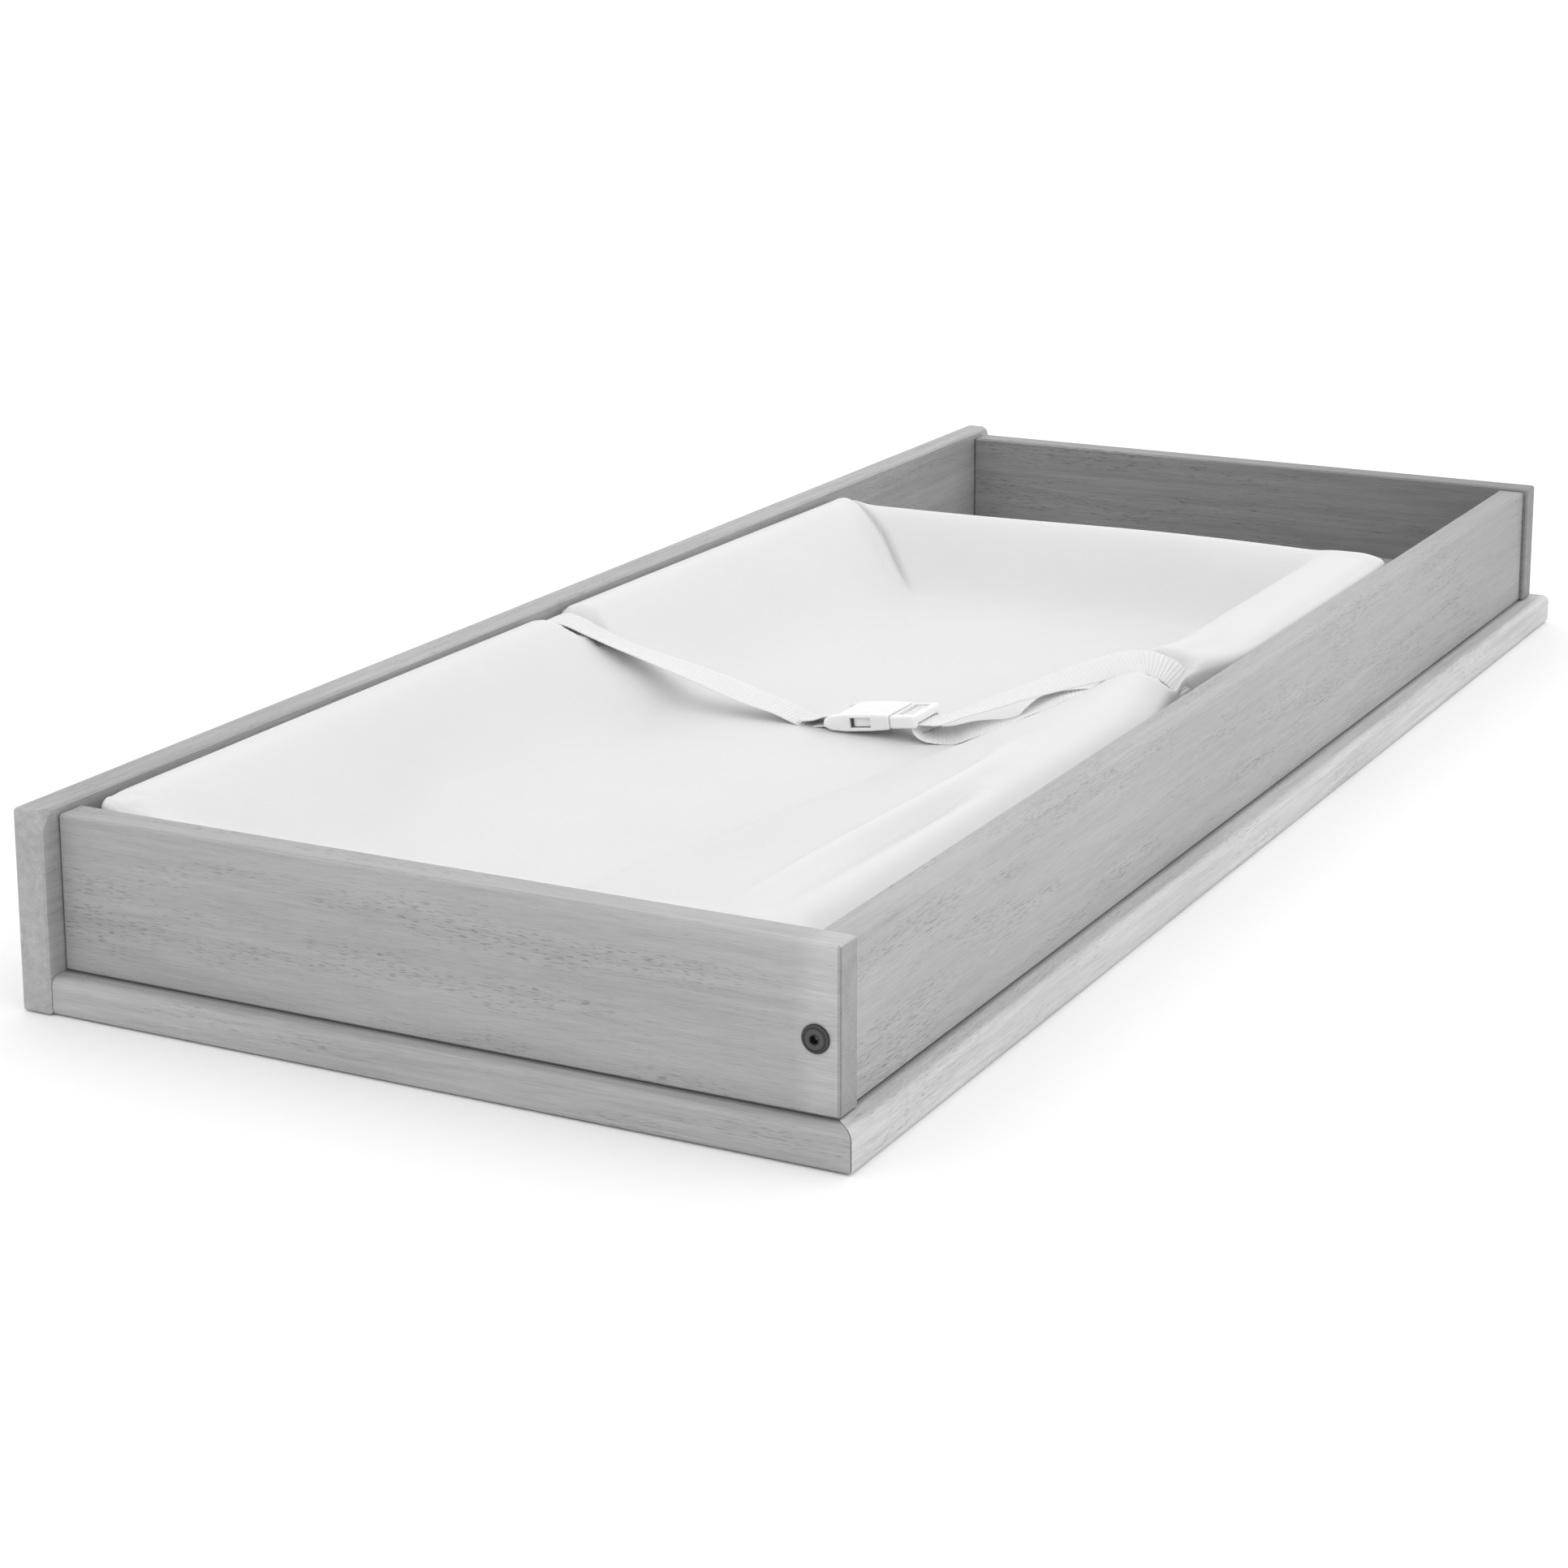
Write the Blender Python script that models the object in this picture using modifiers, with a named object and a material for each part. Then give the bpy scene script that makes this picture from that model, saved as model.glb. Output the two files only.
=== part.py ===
"""Changing tray: an open wooden tray with a contoured changing pad and a safety belt.

Metres, +Z up. +X runs along the tray towards its supplies compartment, +Y towards its tall back panel.
The origin is under the middle of the tray, at the bottom of its base moulding.
"""

from math import cos, pi, radians, sin, sqrt

import bmesh
import bpy
from mathutils import Matrix, Vector

COLLECTION = "changing_tray"
GAP = 0.0003
PAST = 0.001  # how far a cutter runs past the face that it opens
DEEP = 0.01  # how far a cutter reaches on a side that it leaves open

# Tray
SPAN = 1.120  # between the outer faces of the end panels
INNER_DEPTH = 0.414  # between the front and back panels
BOARD = 0.018
LEDGE_HEIGHT = 0.020
LEDGE_PROUD = 0.011
END_PROUD = 0.003  # the end panels stand past the front panel's face
BACK_OVERHANG = 0.0125  # the back panel runs past the end panels
FRONT_TOP = 0.100
END_TOP = 0.102
BACK_TOP = 0.106
FLOOR_TOP = 0.041
FLOOR_BOARD = 0.006
CLEAT = 0.018
EASED_EDGE = 0.0012
PANEL_CORNER = 0.002
SANDED_CORNER = (0.0085, 0.0080, 0.0110)  # how far the facet reaches along x, y and z
SANDING_BLOCK = 0.040
LEDGE_NOSE = 0.0048
LEDGE_FOOT = 0.0025
RAIL_X = 0.060
RAIL_WIDTH = 0.040

END_OUT = SPAN / 2
END_IN = END_OUT - BOARD
LEDGE_OUT = END_OUT + LEDGE_PROUD
LEDGE_WIDTH = LEDGE_PROUD + BOARD
LEDGE_FRONT = -(LEDGE_PROUD + END_PROUD + 2 * BOARD + INNER_DEPTH) / 2
END_FRONT = LEDGE_FRONT + LEDGE_PROUD
FRONT_OUT = END_FRONT + END_PROUD
FRONT_IN = FRONT_OUT + BOARD
BACK_IN = FRONT_IN + INNER_DEPTH
BACK_OUT = BACK_IN + BOARD
PANEL_BOTTOM = LEDGE_HEIGHT + GAP
FLOOR_BOTTOM = FLOOR_TOP - FLOOR_BOARD
CLEAT_TOP = FLOOR_BOTTOM - GAP
CLEAT_MIDDLE = (PANEL_BOTTOM + CLEAT_TOP) / 2

# Corner joints
BOLT_HEIGHT = 0.057
DOWEL_HEIGHTS = (0.034, 0.082)
BOLT_RADIUS = 0.003
BOLT_LENGTH = 0.046
HEAD_RADIUS = 0.007
HEAD_THICKNESS = 0.002
HEX_RADIUS = 0.0023
HEX_DEPTH = 0.0032
BOLT_HOLE = 0.0036
BOLT_HOLE_DEPTH = 0.036  # into the end grain
COUNTERBORE_RADIUS = 0.0080
COUNTERBORE_DEPTH = 0.0026
INSERT_RADIUS = 0.005
INSERT_BORE = 0.0034
INSERT_LENGTH = 0.013
DOWEL_RADIUS = 0.004
DOWEL_IN_FACE = 0.0105
DOWEL_IN_GRAIN = 0.0205
DOWEL_CHAMFER = 0.001

# Screws
SCREW_LENGTH = 0.030
SCREW_HEAD = 0.0037
SCREW_SHANK = 0.0017
SCREW_HOLE = 0.0022
SCREW_PILOT = 0.013  # depth of the hole in the board that a screw is driven into
HEAD_POCKET = 0.0045
LONG_SCREWS = 3  # along a long board
END_SCREW_SPREAD = 0.130
LEDGE_SCREW_SHIFT = 0.030  # keeps the ledges' screws out of the cleats' screws

# Pad
PAD_NEAR, PAD_FAR = -0.5385, 0.3000
PAD_FRONT, PAD_BACK = -0.1780, 0.2100
SHEET_THICKNESS = 0.0012
SHEET_INSET = 0.006
PAD_BOTTOM = FLOOR_TOP + SHEET_THICKNESS + 2 * GAP
PAD_FLOOR = 0.0555  # top of the hollow
PAD_RIDGE = 0.0990  # top of the four raised sides
PAD_EDGE_DROP = 0.0070
PAD_CORNER = 0.016
RIDGE_INSET = 0.012
END_SLOPE = 0.086
SIDE_SLOPE = 0.082
PAD_CELLS_LONG, PAD_CELLS_WIDE = 40, 22
PAD_CROWDING = 0.80  # how far the grid's lines crowd towards the edges, up to 1

# Belt
WEBBING = 0.025
WEBBING_THICKNESS = 0.0012
BELT_X = -0.100
FRONT_ANCHOR_X = -0.032
BUCKLE_CENTRE = Vector((BELT_X, -0.017, 0.0675))
BUCKLE_TILT = radians(7.8)

# Buckle, in its own frame: +Y towards the back strap, Z through its thickness
BUCKLE_WIDTH = 0.034
SOCKET_REAR, SOCKET_MOUTH = 0.029, -0.014
SOCKET_THICKNESS = 0.0105
SOCKET_REAR_THICKNESS = 0.0068
SOCKET_WALL = 0.0016
CAVITY_HEIGHT = 0.0068
CAVITY_REAR = 0.0135
WINDOW_FRONT, WINDOW_REAR = -0.0020, 0.0115
WINDOW_HEIGHT = 0.0060
PLUG_END = -0.0310
PLUG_THICKNESS = 0.0078
SLOT_WIDTH = 0.0268
SOCKET_SLOT = (0.0200, 0.0236)
REAR_BAR = 0.0036
REAR_LOOP_Y = 0.0242
BAR_LOOP = 0.0027  # from the rear bar's middle to the webbing's centre line
PLUG_SLOTS = ((-0.0280, -0.0246), (-0.0206, -0.0172))
ARM_THICKNESS = 0.0054
ARM_ROOT, ARM_TIP = -0.0138, 0.0110
ARM_PIVOT_X = 0.0115
GUIDE_WIDTH, GUIDE_THICKNESS, GUIDE_TIP = 0.0080, 0.0044, 0.0080
PLUG_WEB = (-0.0012, 0.0016)  # bottom and top of the plug between its recesses
PLUG_RECESS_END = -0.0165
STEP = 0.0001  # keeps two cuts' faces out of one plane


def principled(name, colour, roughness, metallic=0.0):
    material = bpy.data.materials.new(name)
    material.use_nodes = True
    shader = material.node_tree.nodes["Principled BSDF"]
    shader.inputs["Base Color"].default_value = (*colour, 1.0)
    shader.inputs["Roughness"].default_value = roughness
    shader.inputs["Metallic"].default_value = metallic
    return material


def clear_scene():
    for obj in list(bpy.data.objects):
        bpy.data.objects.remove(obj, do_unlink=True)


def collection(name):
    made = bpy.data.collections.new(name)
    bpy.context.scene.collection.children.link(made)
    return made


clear_scene()
PARTS = collection(COLLECTION)
CUTTERS = collection("cutters")
WOOD = principled("grey_stained_wood", (0.36, 0.36, 0.36), 0.55)
HIDDEN_WOOD = principled("bare_wood", (0.55, 0.47, 0.36), 0.65)
PLYWOOD = principled("plywood", (0.42, 0.42, 0.41), 0.60)
BOLT_STEEL = principled("black_steel", (0.06, 0.06, 0.065), 0.38, 1.0)
SCREW_STEEL = principled("zinc_steel", (0.55, 0.55, 0.56), 0.35, 1.0)
VINYL = principled("white_vinyl", (0.86, 0.86, 0.86), 0.42)
SHEET = principled("grip_sheet", (0.62, 0.62, 0.62), 0.85)
WEB = principled("white_webbing", (0.84, 0.84, 0.84), 0.75)
PLASTIC = principled("white_plastic", (0.86, 0.86, 0.86), 0.32)


def add(name, mesh, material=None, owner=PARTS):
    obj = bpy.data.objects.new(name, mesh)
    owner.objects.link(obj)
    if material:
        mesh.materials.clear()
        mesh.materials.append(material)
    return obj


def as_cutter(obj):
    PARTS.objects.unlink(obj)
    CUTTERS.objects.link(obj)
    obj.hide_render = True
    obj.display_type = "WIRE"
    return obj


def box(name, low, high, material=None):
    """A box between two corners, with its origin at its centre."""
    low, high = Vector(low), Vector(high)
    bm = bmesh.new()
    bmesh.ops.create_cube(bm, size=1.0, matrix=Matrix.Diagonal((*(high - low), 1.0)))
    mesh = bpy.data.meshes.new(name)
    bm.to_mesh(mesh)
    bm.free()
    obj = add(name, mesh, material)
    obj.location = (low + high) / 2
    return obj


def aim(obj, start, direction):
    """Places an object at start, with its own +Z along direction."""
    obj.location = start
    obj.rotation_euler = Vector(direction).to_track_quat("Z", "Y").to_euler()
    return obj


def rod_mesh(name, radius, length, segments):
    """A cylinder that runs from its origin along +Z."""
    bm = bmesh.new()
    bmesh.ops.create_cone(
        bm,
        cap_ends=True,
        segments=segments,
        radius1=radius,
        radius2=radius,
        depth=length,
        matrix=Matrix.Translation((0, 0, length / 2)),
    )
    mesh = bpy.data.meshes.new(name)
    bm.to_mesh(mesh)
    bm.free()
    return mesh


def soften(obj, width=EASED_EDGE, segments=1):
    modifier = obj.modifiers.new("eased_edges", "BEVEL")
    modifier.width = width
    modifier.segments = segments
    modifier.limit_method = "ANGLE"
    modifier.angle_limit = radians(40)
    return obj


def cut(obj, cutter, operation="DIFFERENCE"):
    modifier = obj.modifiers.new(cutter.name, "BOOLEAN")
    modifier.operation = operation
    modifier.solver = "EXACT"
    modifier.object = as_cutter(cutter)


def drill(obj, label, start, direction, depth, radius, segments=20):
    """Cuts a round hole that begins just outside start and is depth deep from it."""
    start, direction = Vector(start), Vector(direction).normalized()
    mesh = rod_mesh(f"{label}_hole", radius, depth + PAST, segments)
    hole = add(f"{obj.name}_{label}_hole", mesh)
    cut(obj, aim(hole, start - direction * PAST, direction))


def freeze(obj):
    """Replaces an object's modifiers with the mesh that they make."""
    bpy.context.view_layer.update()
    graph = bpy.context.evaluated_depsgraph_get()
    mesh = bpy.data.meshes.new_from_object(obj.evaluated_get(graph))
    mesh.name = obj.name
    obj.modifiers.clear()
    obj.data = mesh
    return obj


def smooth(obj, angle=35):
    obj.data.shade_smooth()
    obj.data.set_sharp_from_angle(angle=radians(angle))
    return obj


def turned(name, profile, steps, material):
    """A turned piece about its own Z: the profile is (radius, height), listed from top to bottom."""
    mesh = bpy.data.meshes.new(name)
    edges = [(i, i + 1) for i in range(len(profile) - 1)]
    mesh.from_pydata([(r, 0, z) for r, z in profile], edges, [])
    obj = add(name, mesh)
    screw = obj.modifiers.new("turn", "SCREW")
    screw.axis = "Z"
    screw.steps = screw.render_steps = steps
    screw.use_merge_vertices = True
    screw.merge_threshold = 0.00001
    freeze(obj)
    obj.data.materials.append(material)
    return smooth(obj)


def extruded(name, outline, length, frame):
    """A closed outline (u, v) drawn out by length along w, centred on w = 0, in the axes of frame."""
    curve = bpy.data.curves.new(name, "CURVE")
    curve.dimensions = "2D"
    curve.fill_mode = "BOTH"
    curve.extrude = length / 2
    spline = curve.splines.new("POLY")
    spline.points.add(len(outline) - 1)
    for point, (u, v) in zip(spline.points, outline):
        point.co = (u, v, 0, 1)
    spline.use_cyclic_u = True
    drawn = bpy.data.objects.new(name, curve)
    PARTS.objects.link(drawn)
    bpy.context.view_layer.update()
    graph = bpy.context.evaluated_depsgraph_get()
    mesh = bpy.data.meshes.new_from_object(drawn.evaluated_get(graph))
    bpy.data.objects.remove(drawn)
    mesh.name = name
    bm = bmesh.new()
    bm.from_mesh(mesh)
    bmesh.ops.remove_doubles(bm, verts=bm.verts, dist=0.00001)
    bmesh.ops.dissolve_limit(bm, angle_limit=radians(1), verts=bm.verts, edges=bm.edges)
    bmesh.ops.transform(bm, matrix=frame, verts=bm.verts)
    bmesh.ops.recalc_face_normals(bm, faces=bm.faces)
    bm.to_mesh(mesh)
    bm.free()
    return add(name, mesh)


def axes(u, v, w):
    """The matrix whose columns are the directions that u, v and w take."""
    return Matrix((u, v, w)).transposed().to_4x4()


def arc(centre, radius, start, end, steps):
    """Points on an arc in a plane, from angle start to angle end in degrees."""
    turn = [radians(start + (end - start) * i / steps) for i in range(steps + 1)]
    return [(centre[0] + radius * cos(a), centre[1] + radius * sin(a)) for a in turn]


# --- Wooden tray ---------------------------------------------------------------------------------


def long_places(offset=0.0):
    """Places along X for the screws of a long board, evenly spread over the tray's inside."""
    step = 2 * END_IN / LONG_SCREWS
    return [-END_IN + step * (i + 0.5) + offset for i in range(LONG_SCREWS)]


def end_places(offset=0.0):
    """Places along Y for the screws of an end board."""
    middle = (FRONT_IN + BACK_IN) / 2
    return [middle - END_SCREW_SPREAD + offset, middle + END_SCREW_SPREAD + offset]


def pilot_hole(panel, label, start, direction):
    drill(panel, label, start, direction, SCREW_PILOT, SCREW_HOLE, 12)


def screw_hole(piece, label, start, direction, thickness):
    """A hole right through a piece, with a pocket for the screw's head at its start."""
    drill(piece, f"screw_{label}", start, direction, thickness + PAST, SCREW_HOLE, 12)
    drill(piece, f"head_{label}", start, direction, HEAD_POCKET, SCREW_HEAD + 2 * GAP, 16)


def dowel_holes(panel, label, start, direction, depth):
    """One hole for each dowel of a joint; start is the place in plan."""
    for i, z in enumerate(DOWEL_HEIGHTS):
        drill(panel, f"{label}_dowel_{i}", (*start, z), direction, depth + GAP, DOWEL_RADIUS + GAP, 16)


def joint_holes(panel, label, start, direction):
    """The insert's pocket, the bolt's hole and the dowels' holes in a board's end grain."""
    bolt = (*start, BOLT_HEIGHT)
    drill(panel, f"{label}_insert", bolt, direction, INSERT_LENGTH + GAP, INSERT_RADIUS + GAP)
    drill(panel, f"{label}_bolt", bolt, direction, BOLT_HOLE_DEPTH, BOLT_HOLE)
    dowel_holes(panel, label, start, direction, DOWEL_IN_GRAIN)


def sand_corner(panel, side, label):
    """Takes a slanting facet off the back panel's top inner corner at one end."""
    reach_x, reach_y, reach_z = SANDED_CORNER
    corner = Vector((side * (END_OUT + BACK_OVERHANG), BACK_IN, BACK_TOP))
    slope = Vector((side / reach_x, -1 / reach_y, 1 / reach_z))
    outwards = slope.normalized()
    middle = corner + outwards * (SANDING_BLOCK / 2 - 1 / slope.length)
    half_block = Vector((1, 1, 1)) * SANDING_BLOCK / 2
    block = box(f"back_panel_{label}_facet", -half_block, half_block)
    cut(panel, aim(block, middle, outwards))


def back_panel():
    half = END_OUT + BACK_OVERHANG
    outline = [(-half, 0.0), (half, 0.0)]
    outline += arc((half - PANEL_CORNER, BACK_TOP - PANEL_CORNER), PANEL_CORNER, 0, 90, 4)
    outline += arc((PANEL_CORNER - half, BACK_TOP - PANEL_CORNER), PANEL_CORNER, 90, 180, 4)
    frame = Matrix.Translation((0, (BACK_IN + BACK_OUT) / 2, 0)) @ axes((1, 0, 0), (0, 0, 1), (0, -1, 0))
    panel = soften(extruded("back_panel", outline, BOARD, frame))
    panel.data.materials.append(WOOD)
    for side, label in ((-1, "near"), (1, "far")):
        x = side * (END_OUT - BOARD / 2)
        start = (x, BACK_OUT, BOLT_HEIGHT)
        drill(panel, f"{label}_bolt", start, (0, -1, 0), BOARD + PAST, BOLT_HOLE)
        drill(panel, f"{label}_counterbore", start, (0, -1, 0), COUNTERBORE_DEPTH, COUNTERBORE_RADIUS, 28)
        dowel_holes(panel, label, (x, BACK_IN), (0, 1, 0), DOWEL_IN_FACE)
        sand_corner(panel, side, label)
    for i, x in enumerate(long_places()):
        pilot_hole(panel, f"screw_{i}", (x, BACK_IN, CLEAT_MIDDLE), (0, 1, 0))


def end_panel(name, side):
    x_low, x_high = sorted((side * END_IN, side * END_OUT))
    panel = soften(box(name, (x_low, END_FRONT, PANEL_BOTTOM), (x_high, BACK_IN - GAP, END_TOP), WOOD))
    outer, inner = side * END_OUT, side * END_IN
    front_joint = (FRONT_OUT + FRONT_IN) / 2
    drill(panel, "front_bolt", (outer, front_joint, BOLT_HEIGHT), (-side, 0, 0), BOARD + PAST, BOLT_HOLE)
    dowel_holes(panel, "front", (inner, front_joint), (side, 0, 0), DOWEL_IN_FACE)
    joint_holes(panel, "back", ((outer + inner) / 2, BACK_IN - GAP), (0, -1, 0))
    for i, y in enumerate(end_places()):
        pilot_hole(panel, f"screw_{i}", (inner, y, CLEAT_MIDDLE), (side, 0, 0))
    for i, y in enumerate(end_places(LEDGE_SCREW_SHIFT)):
        pilot_hole(panel, f"ledge_screw_{i}", ((outer + inner) / 2, y, PANEL_BOTTOM), (0, 0, 1))


def front_panel():
    reach = END_IN - GAP
    panel = soften(box("front_panel", (-reach, FRONT_OUT, PANEL_BOTTOM), (reach, FRONT_IN, FRONT_TOP), WOOD))
    middle = (FRONT_OUT + FRONT_IN) / 2
    for side, label in ((-1, "near"), (1, "far")):
        joint_holes(panel, label, (side * reach, middle), (-side, 0, 0))
    for i, x in enumerate(long_places()):
        pilot_hole(panel, f"screw_{i}", (x, FRONT_IN, CLEAT_MIDDLE), (0, -1, 0))
    for i, x in enumerate(long_places(LEDGE_SCREW_SHIFT)):
        pilot_hole(panel, f"ledge_screw_{i}", (x, middle, PANEL_BOTTOM), (0, 0, 1))


def ledge_outline():
    """Section of the base moulding: u outwards from its inner face, v up from its bottom."""
    outline = [(0, 0)]
    outline += arc((LEDGE_WIDTH - LEDGE_FOOT, LEDGE_FOOT), LEDGE_FOOT, -90, 0, 2)
    outline += arc((LEDGE_WIDTH - LEDGE_NOSE, LEDGE_HEIGHT - LEDGE_NOSE), LEDGE_NOSE, 0, 90, 6)
    outline += [(0, LEDGE_HEIGHT)]
    return outline


def mitre(obj, point, outward):
    """Cuts an object flat through a point and closes it; what lies along outward is removed."""
    bm = bmesh.new()
    bm.from_mesh(obj.data)
    everything = bm.verts[:] + bm.edges[:] + bm.faces[:]
    cut_through = bmesh.ops.bisect_plane(
        bm,
        geom=everything,
        plane_co=point,
        plane_no=outward,
        clear_outer=True,
    )
    rim = [e for e in cut_through["geom_cut"] if isinstance(e, bmesh.types.BMEdge)]
    bmesh.ops.edgeloop_fill(bm, edges=rim)
    bmesh.ops.recalc_face_normals(bm, faces=bm.faces)
    bm.to_mesh(obj.data)
    bm.free()


def ledges():
    inner_x = LEDGE_OUT - LEDGE_WIDTH
    inner_y = LEDGE_FRONT + LEDGE_WIDTH
    slack = Vector((GAP / 2, GAP / 2, 0))
    front_frame = Matrix.Translation((0, inner_y, 0)) @ axes((0, -1, 0), (0, 0, 1), (-1, 0, 0))
    front = extruded("front_ledge", ledge_outline(), 2 * LEDGE_OUT + DEEP, front_frame)
    for side in (-1, 1):
        corner = Vector((side * LEDGE_OUT, LEDGE_FRONT, 0))
        away = Vector((side, 1, 0))
        mitre(front, corner - Vector((side * slack.x, slack.y, 0)), away)
    front.data.materials.append(WOOD)
    smooth(front)
    middle_y = (FRONT_OUT + FRONT_IN) / 2
    for i, x in enumerate(long_places(LEDGE_SCREW_SHIFT)):
        screw_hole(front, i, (x, middle_y, 0), (0, 0, 1), LEDGE_HEIGHT)
    back_end = BACK_IN - GAP
    length = back_end - LEDGE_FRONT
    for side, name in ((-1, "near_ledge"), (1, "far_ledge")):
        frame = Matrix.Translation((side * inner_x, LEDGE_FRONT + length / 2, 0))
        ledge = extruded(name, ledge_outline(), length, frame @ axes((side, 0, 0), (0, 0, 1), (0, -side, 0)))
        corner = Vector((side * LEDGE_OUT, LEDGE_FRONT, 0))
        mitre(ledge, corner + Vector((side * slack.x, slack.y, 0)), Vector((-side, -1, 0)))
        ledge.data.materials.append(WOOD)
        smooth(ledge)
        for i, y in enumerate(end_places(LEDGE_SCREW_SHIFT)):
            screw_hole(ledge, i, (side * (END_OUT + END_IN) / 2, y, 0), (0, 0, 1), LEDGE_HEIGHT)


def floor_and_cleats():
    reach_x = END_IN - GAP
    front, back = FRONT_IN + GAP, BACK_IN - GAP
    box("tray_floor", (-reach_x, front, FLOOR_BOTTOM), (reach_x, back, FLOOR_TOP), PLYWOOD)
    for side, name in ((-1, "near_cleat"), (1, "far_cleat")):
        x_low, x_high = sorted((side * (reach_x - CLEAT), side * reach_x))
        cleat = box(name, (x_low, front, PANEL_BOTTOM), (x_high, back, CLEAT_TOP), HIDDEN_WOOD)
        for i, y in enumerate(end_places()):
            screw_hole(cleat, i, (side * (reach_x - CLEAT), y, CLEAT_MIDDLE), (side, 0, 0), CLEAT)
    between = reach_x - CLEAT - GAP
    for side, name, face in ((-1, "front_cleat", front), (1, "back_cleat", back)):
        y_low, y_high = sorted((face, face - side * CLEAT))
        cleat = box(name, (-between, y_low, PANEL_BOTTOM), (between, y_high, CLEAT_TOP), HIDDEN_WOOD)
        for i, x in enumerate(long_places()):
            screw_hole(cleat, i, (x, face - side * CLEAT, CLEAT_MIDDLE), (0, side, 0), CLEAT)
    rail_front, rail_back = front + CLEAT + GAP, back - CLEAT - GAP
    rail_near, rail_far = RAIL_X - RAIL_WIDTH / 2, RAIL_X + RAIL_WIDTH / 2
    low, high = (rail_near, rail_front, PANEL_BOTTOM), (rail_far, rail_back, CLEAT_TOP)
    box("floor_crossrail", low, high, HIDDEN_WOOD)


# --- Fastenings ----------------------------------------------------------------------------------


def bolt_mesh():
    """A flanged button head with a hex socket; its flange rests at z = 0 and its shank runs along +Z."""
    top = -HEAD_THICKNESS
    profile = [
        (0, BOLT_LENGTH),
        (BOLT_RADIUS - 0.0006, BOLT_LENGTH),
        (BOLT_RADIUS, BOLT_LENGTH - 0.0008),
        (BOLT_RADIUS, 0),
        (HEAD_RADIUS, 0),
        (HEAD_RADIUS, -0.0007),
        (HEAD_RADIUS - 0.0012, top + 0.0003),
        (HEAD_RADIUS - 0.0024, top),
        (0, top),
    ]
    bolt = turned("bolt_pattern", profile, 24, BOLT_STEEL)
    drill(bolt, "hex", (0, 0, top), (0, 0, 1), HEX_DEPTH, HEX_RADIUS, 6)
    return freeze(bolt)


def insert_mesh():
    """A threaded insert along +Z, with its mouth at z = 0."""
    profile = [
        (INSERT_BORE, INSERT_LENGTH),
        (INSERT_RADIUS - 0.0006, INSERT_LENGTH),
        (INSERT_RADIUS, INSERT_LENGTH - 0.0015),
        (INSERT_RADIUS, 0),
        (INSERT_BORE + 0.0005, 0),
        (INSERT_BORE, 0.0006),
        (INSERT_BORE, INSERT_LENGTH),
    ]
    return turned("insert_pattern", profile, 16, SCREW_STEEL)


def dowel_mesh():
    length = DOWEL_IN_FACE + DOWEL_IN_GRAIN
    profile = [
        (0, length),
        (DOWEL_RADIUS - DOWEL_CHAMFER, length),
        (DOWEL_RADIUS, length - DOWEL_CHAMFER),
        (DOWEL_RADIUS, DOWEL_CHAMFER),
        (DOWEL_RADIUS - DOWEL_CHAMFER, 0),
        (0, 0),
    ]
    return turned("dowel_pattern", profile, 12, HIDDEN_WOOD)


def screw_mesh():
    """A countersunk screw along +Z, with the top of its head at z = 0."""
    profile = [
        (0, SCREW_LENGTH),
        (SCREW_SHANK, SCREW_LENGTH - 0.005),
        (SCREW_SHANK, 0.0030),
        (SCREW_HEAD, 0.0006),
        (SCREW_HEAD, 0),
        (0, 0),
    ]
    screw = turned("screw_pattern", profile, 12, SCREW_STEEL)
    blade, arm, depth = 0.0005, 0.0020, 0.0016
    for label, half_x, half_y in (("cross_x", arm, blade), ("cross_y", blade, arm)):
        cut(screw, box(label, (-half_x, -half_y, -PAST), (half_x, half_y, depth)))
    return freeze(screw)


def copies(pattern, places):
    """Puts one copy of a pattern's mesh at each place: (name, start, direction)."""
    for name, start, direction in places:
        aim(add(name, pattern.data), start, direction)
    bpy.data.objects.remove(pattern)


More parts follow.
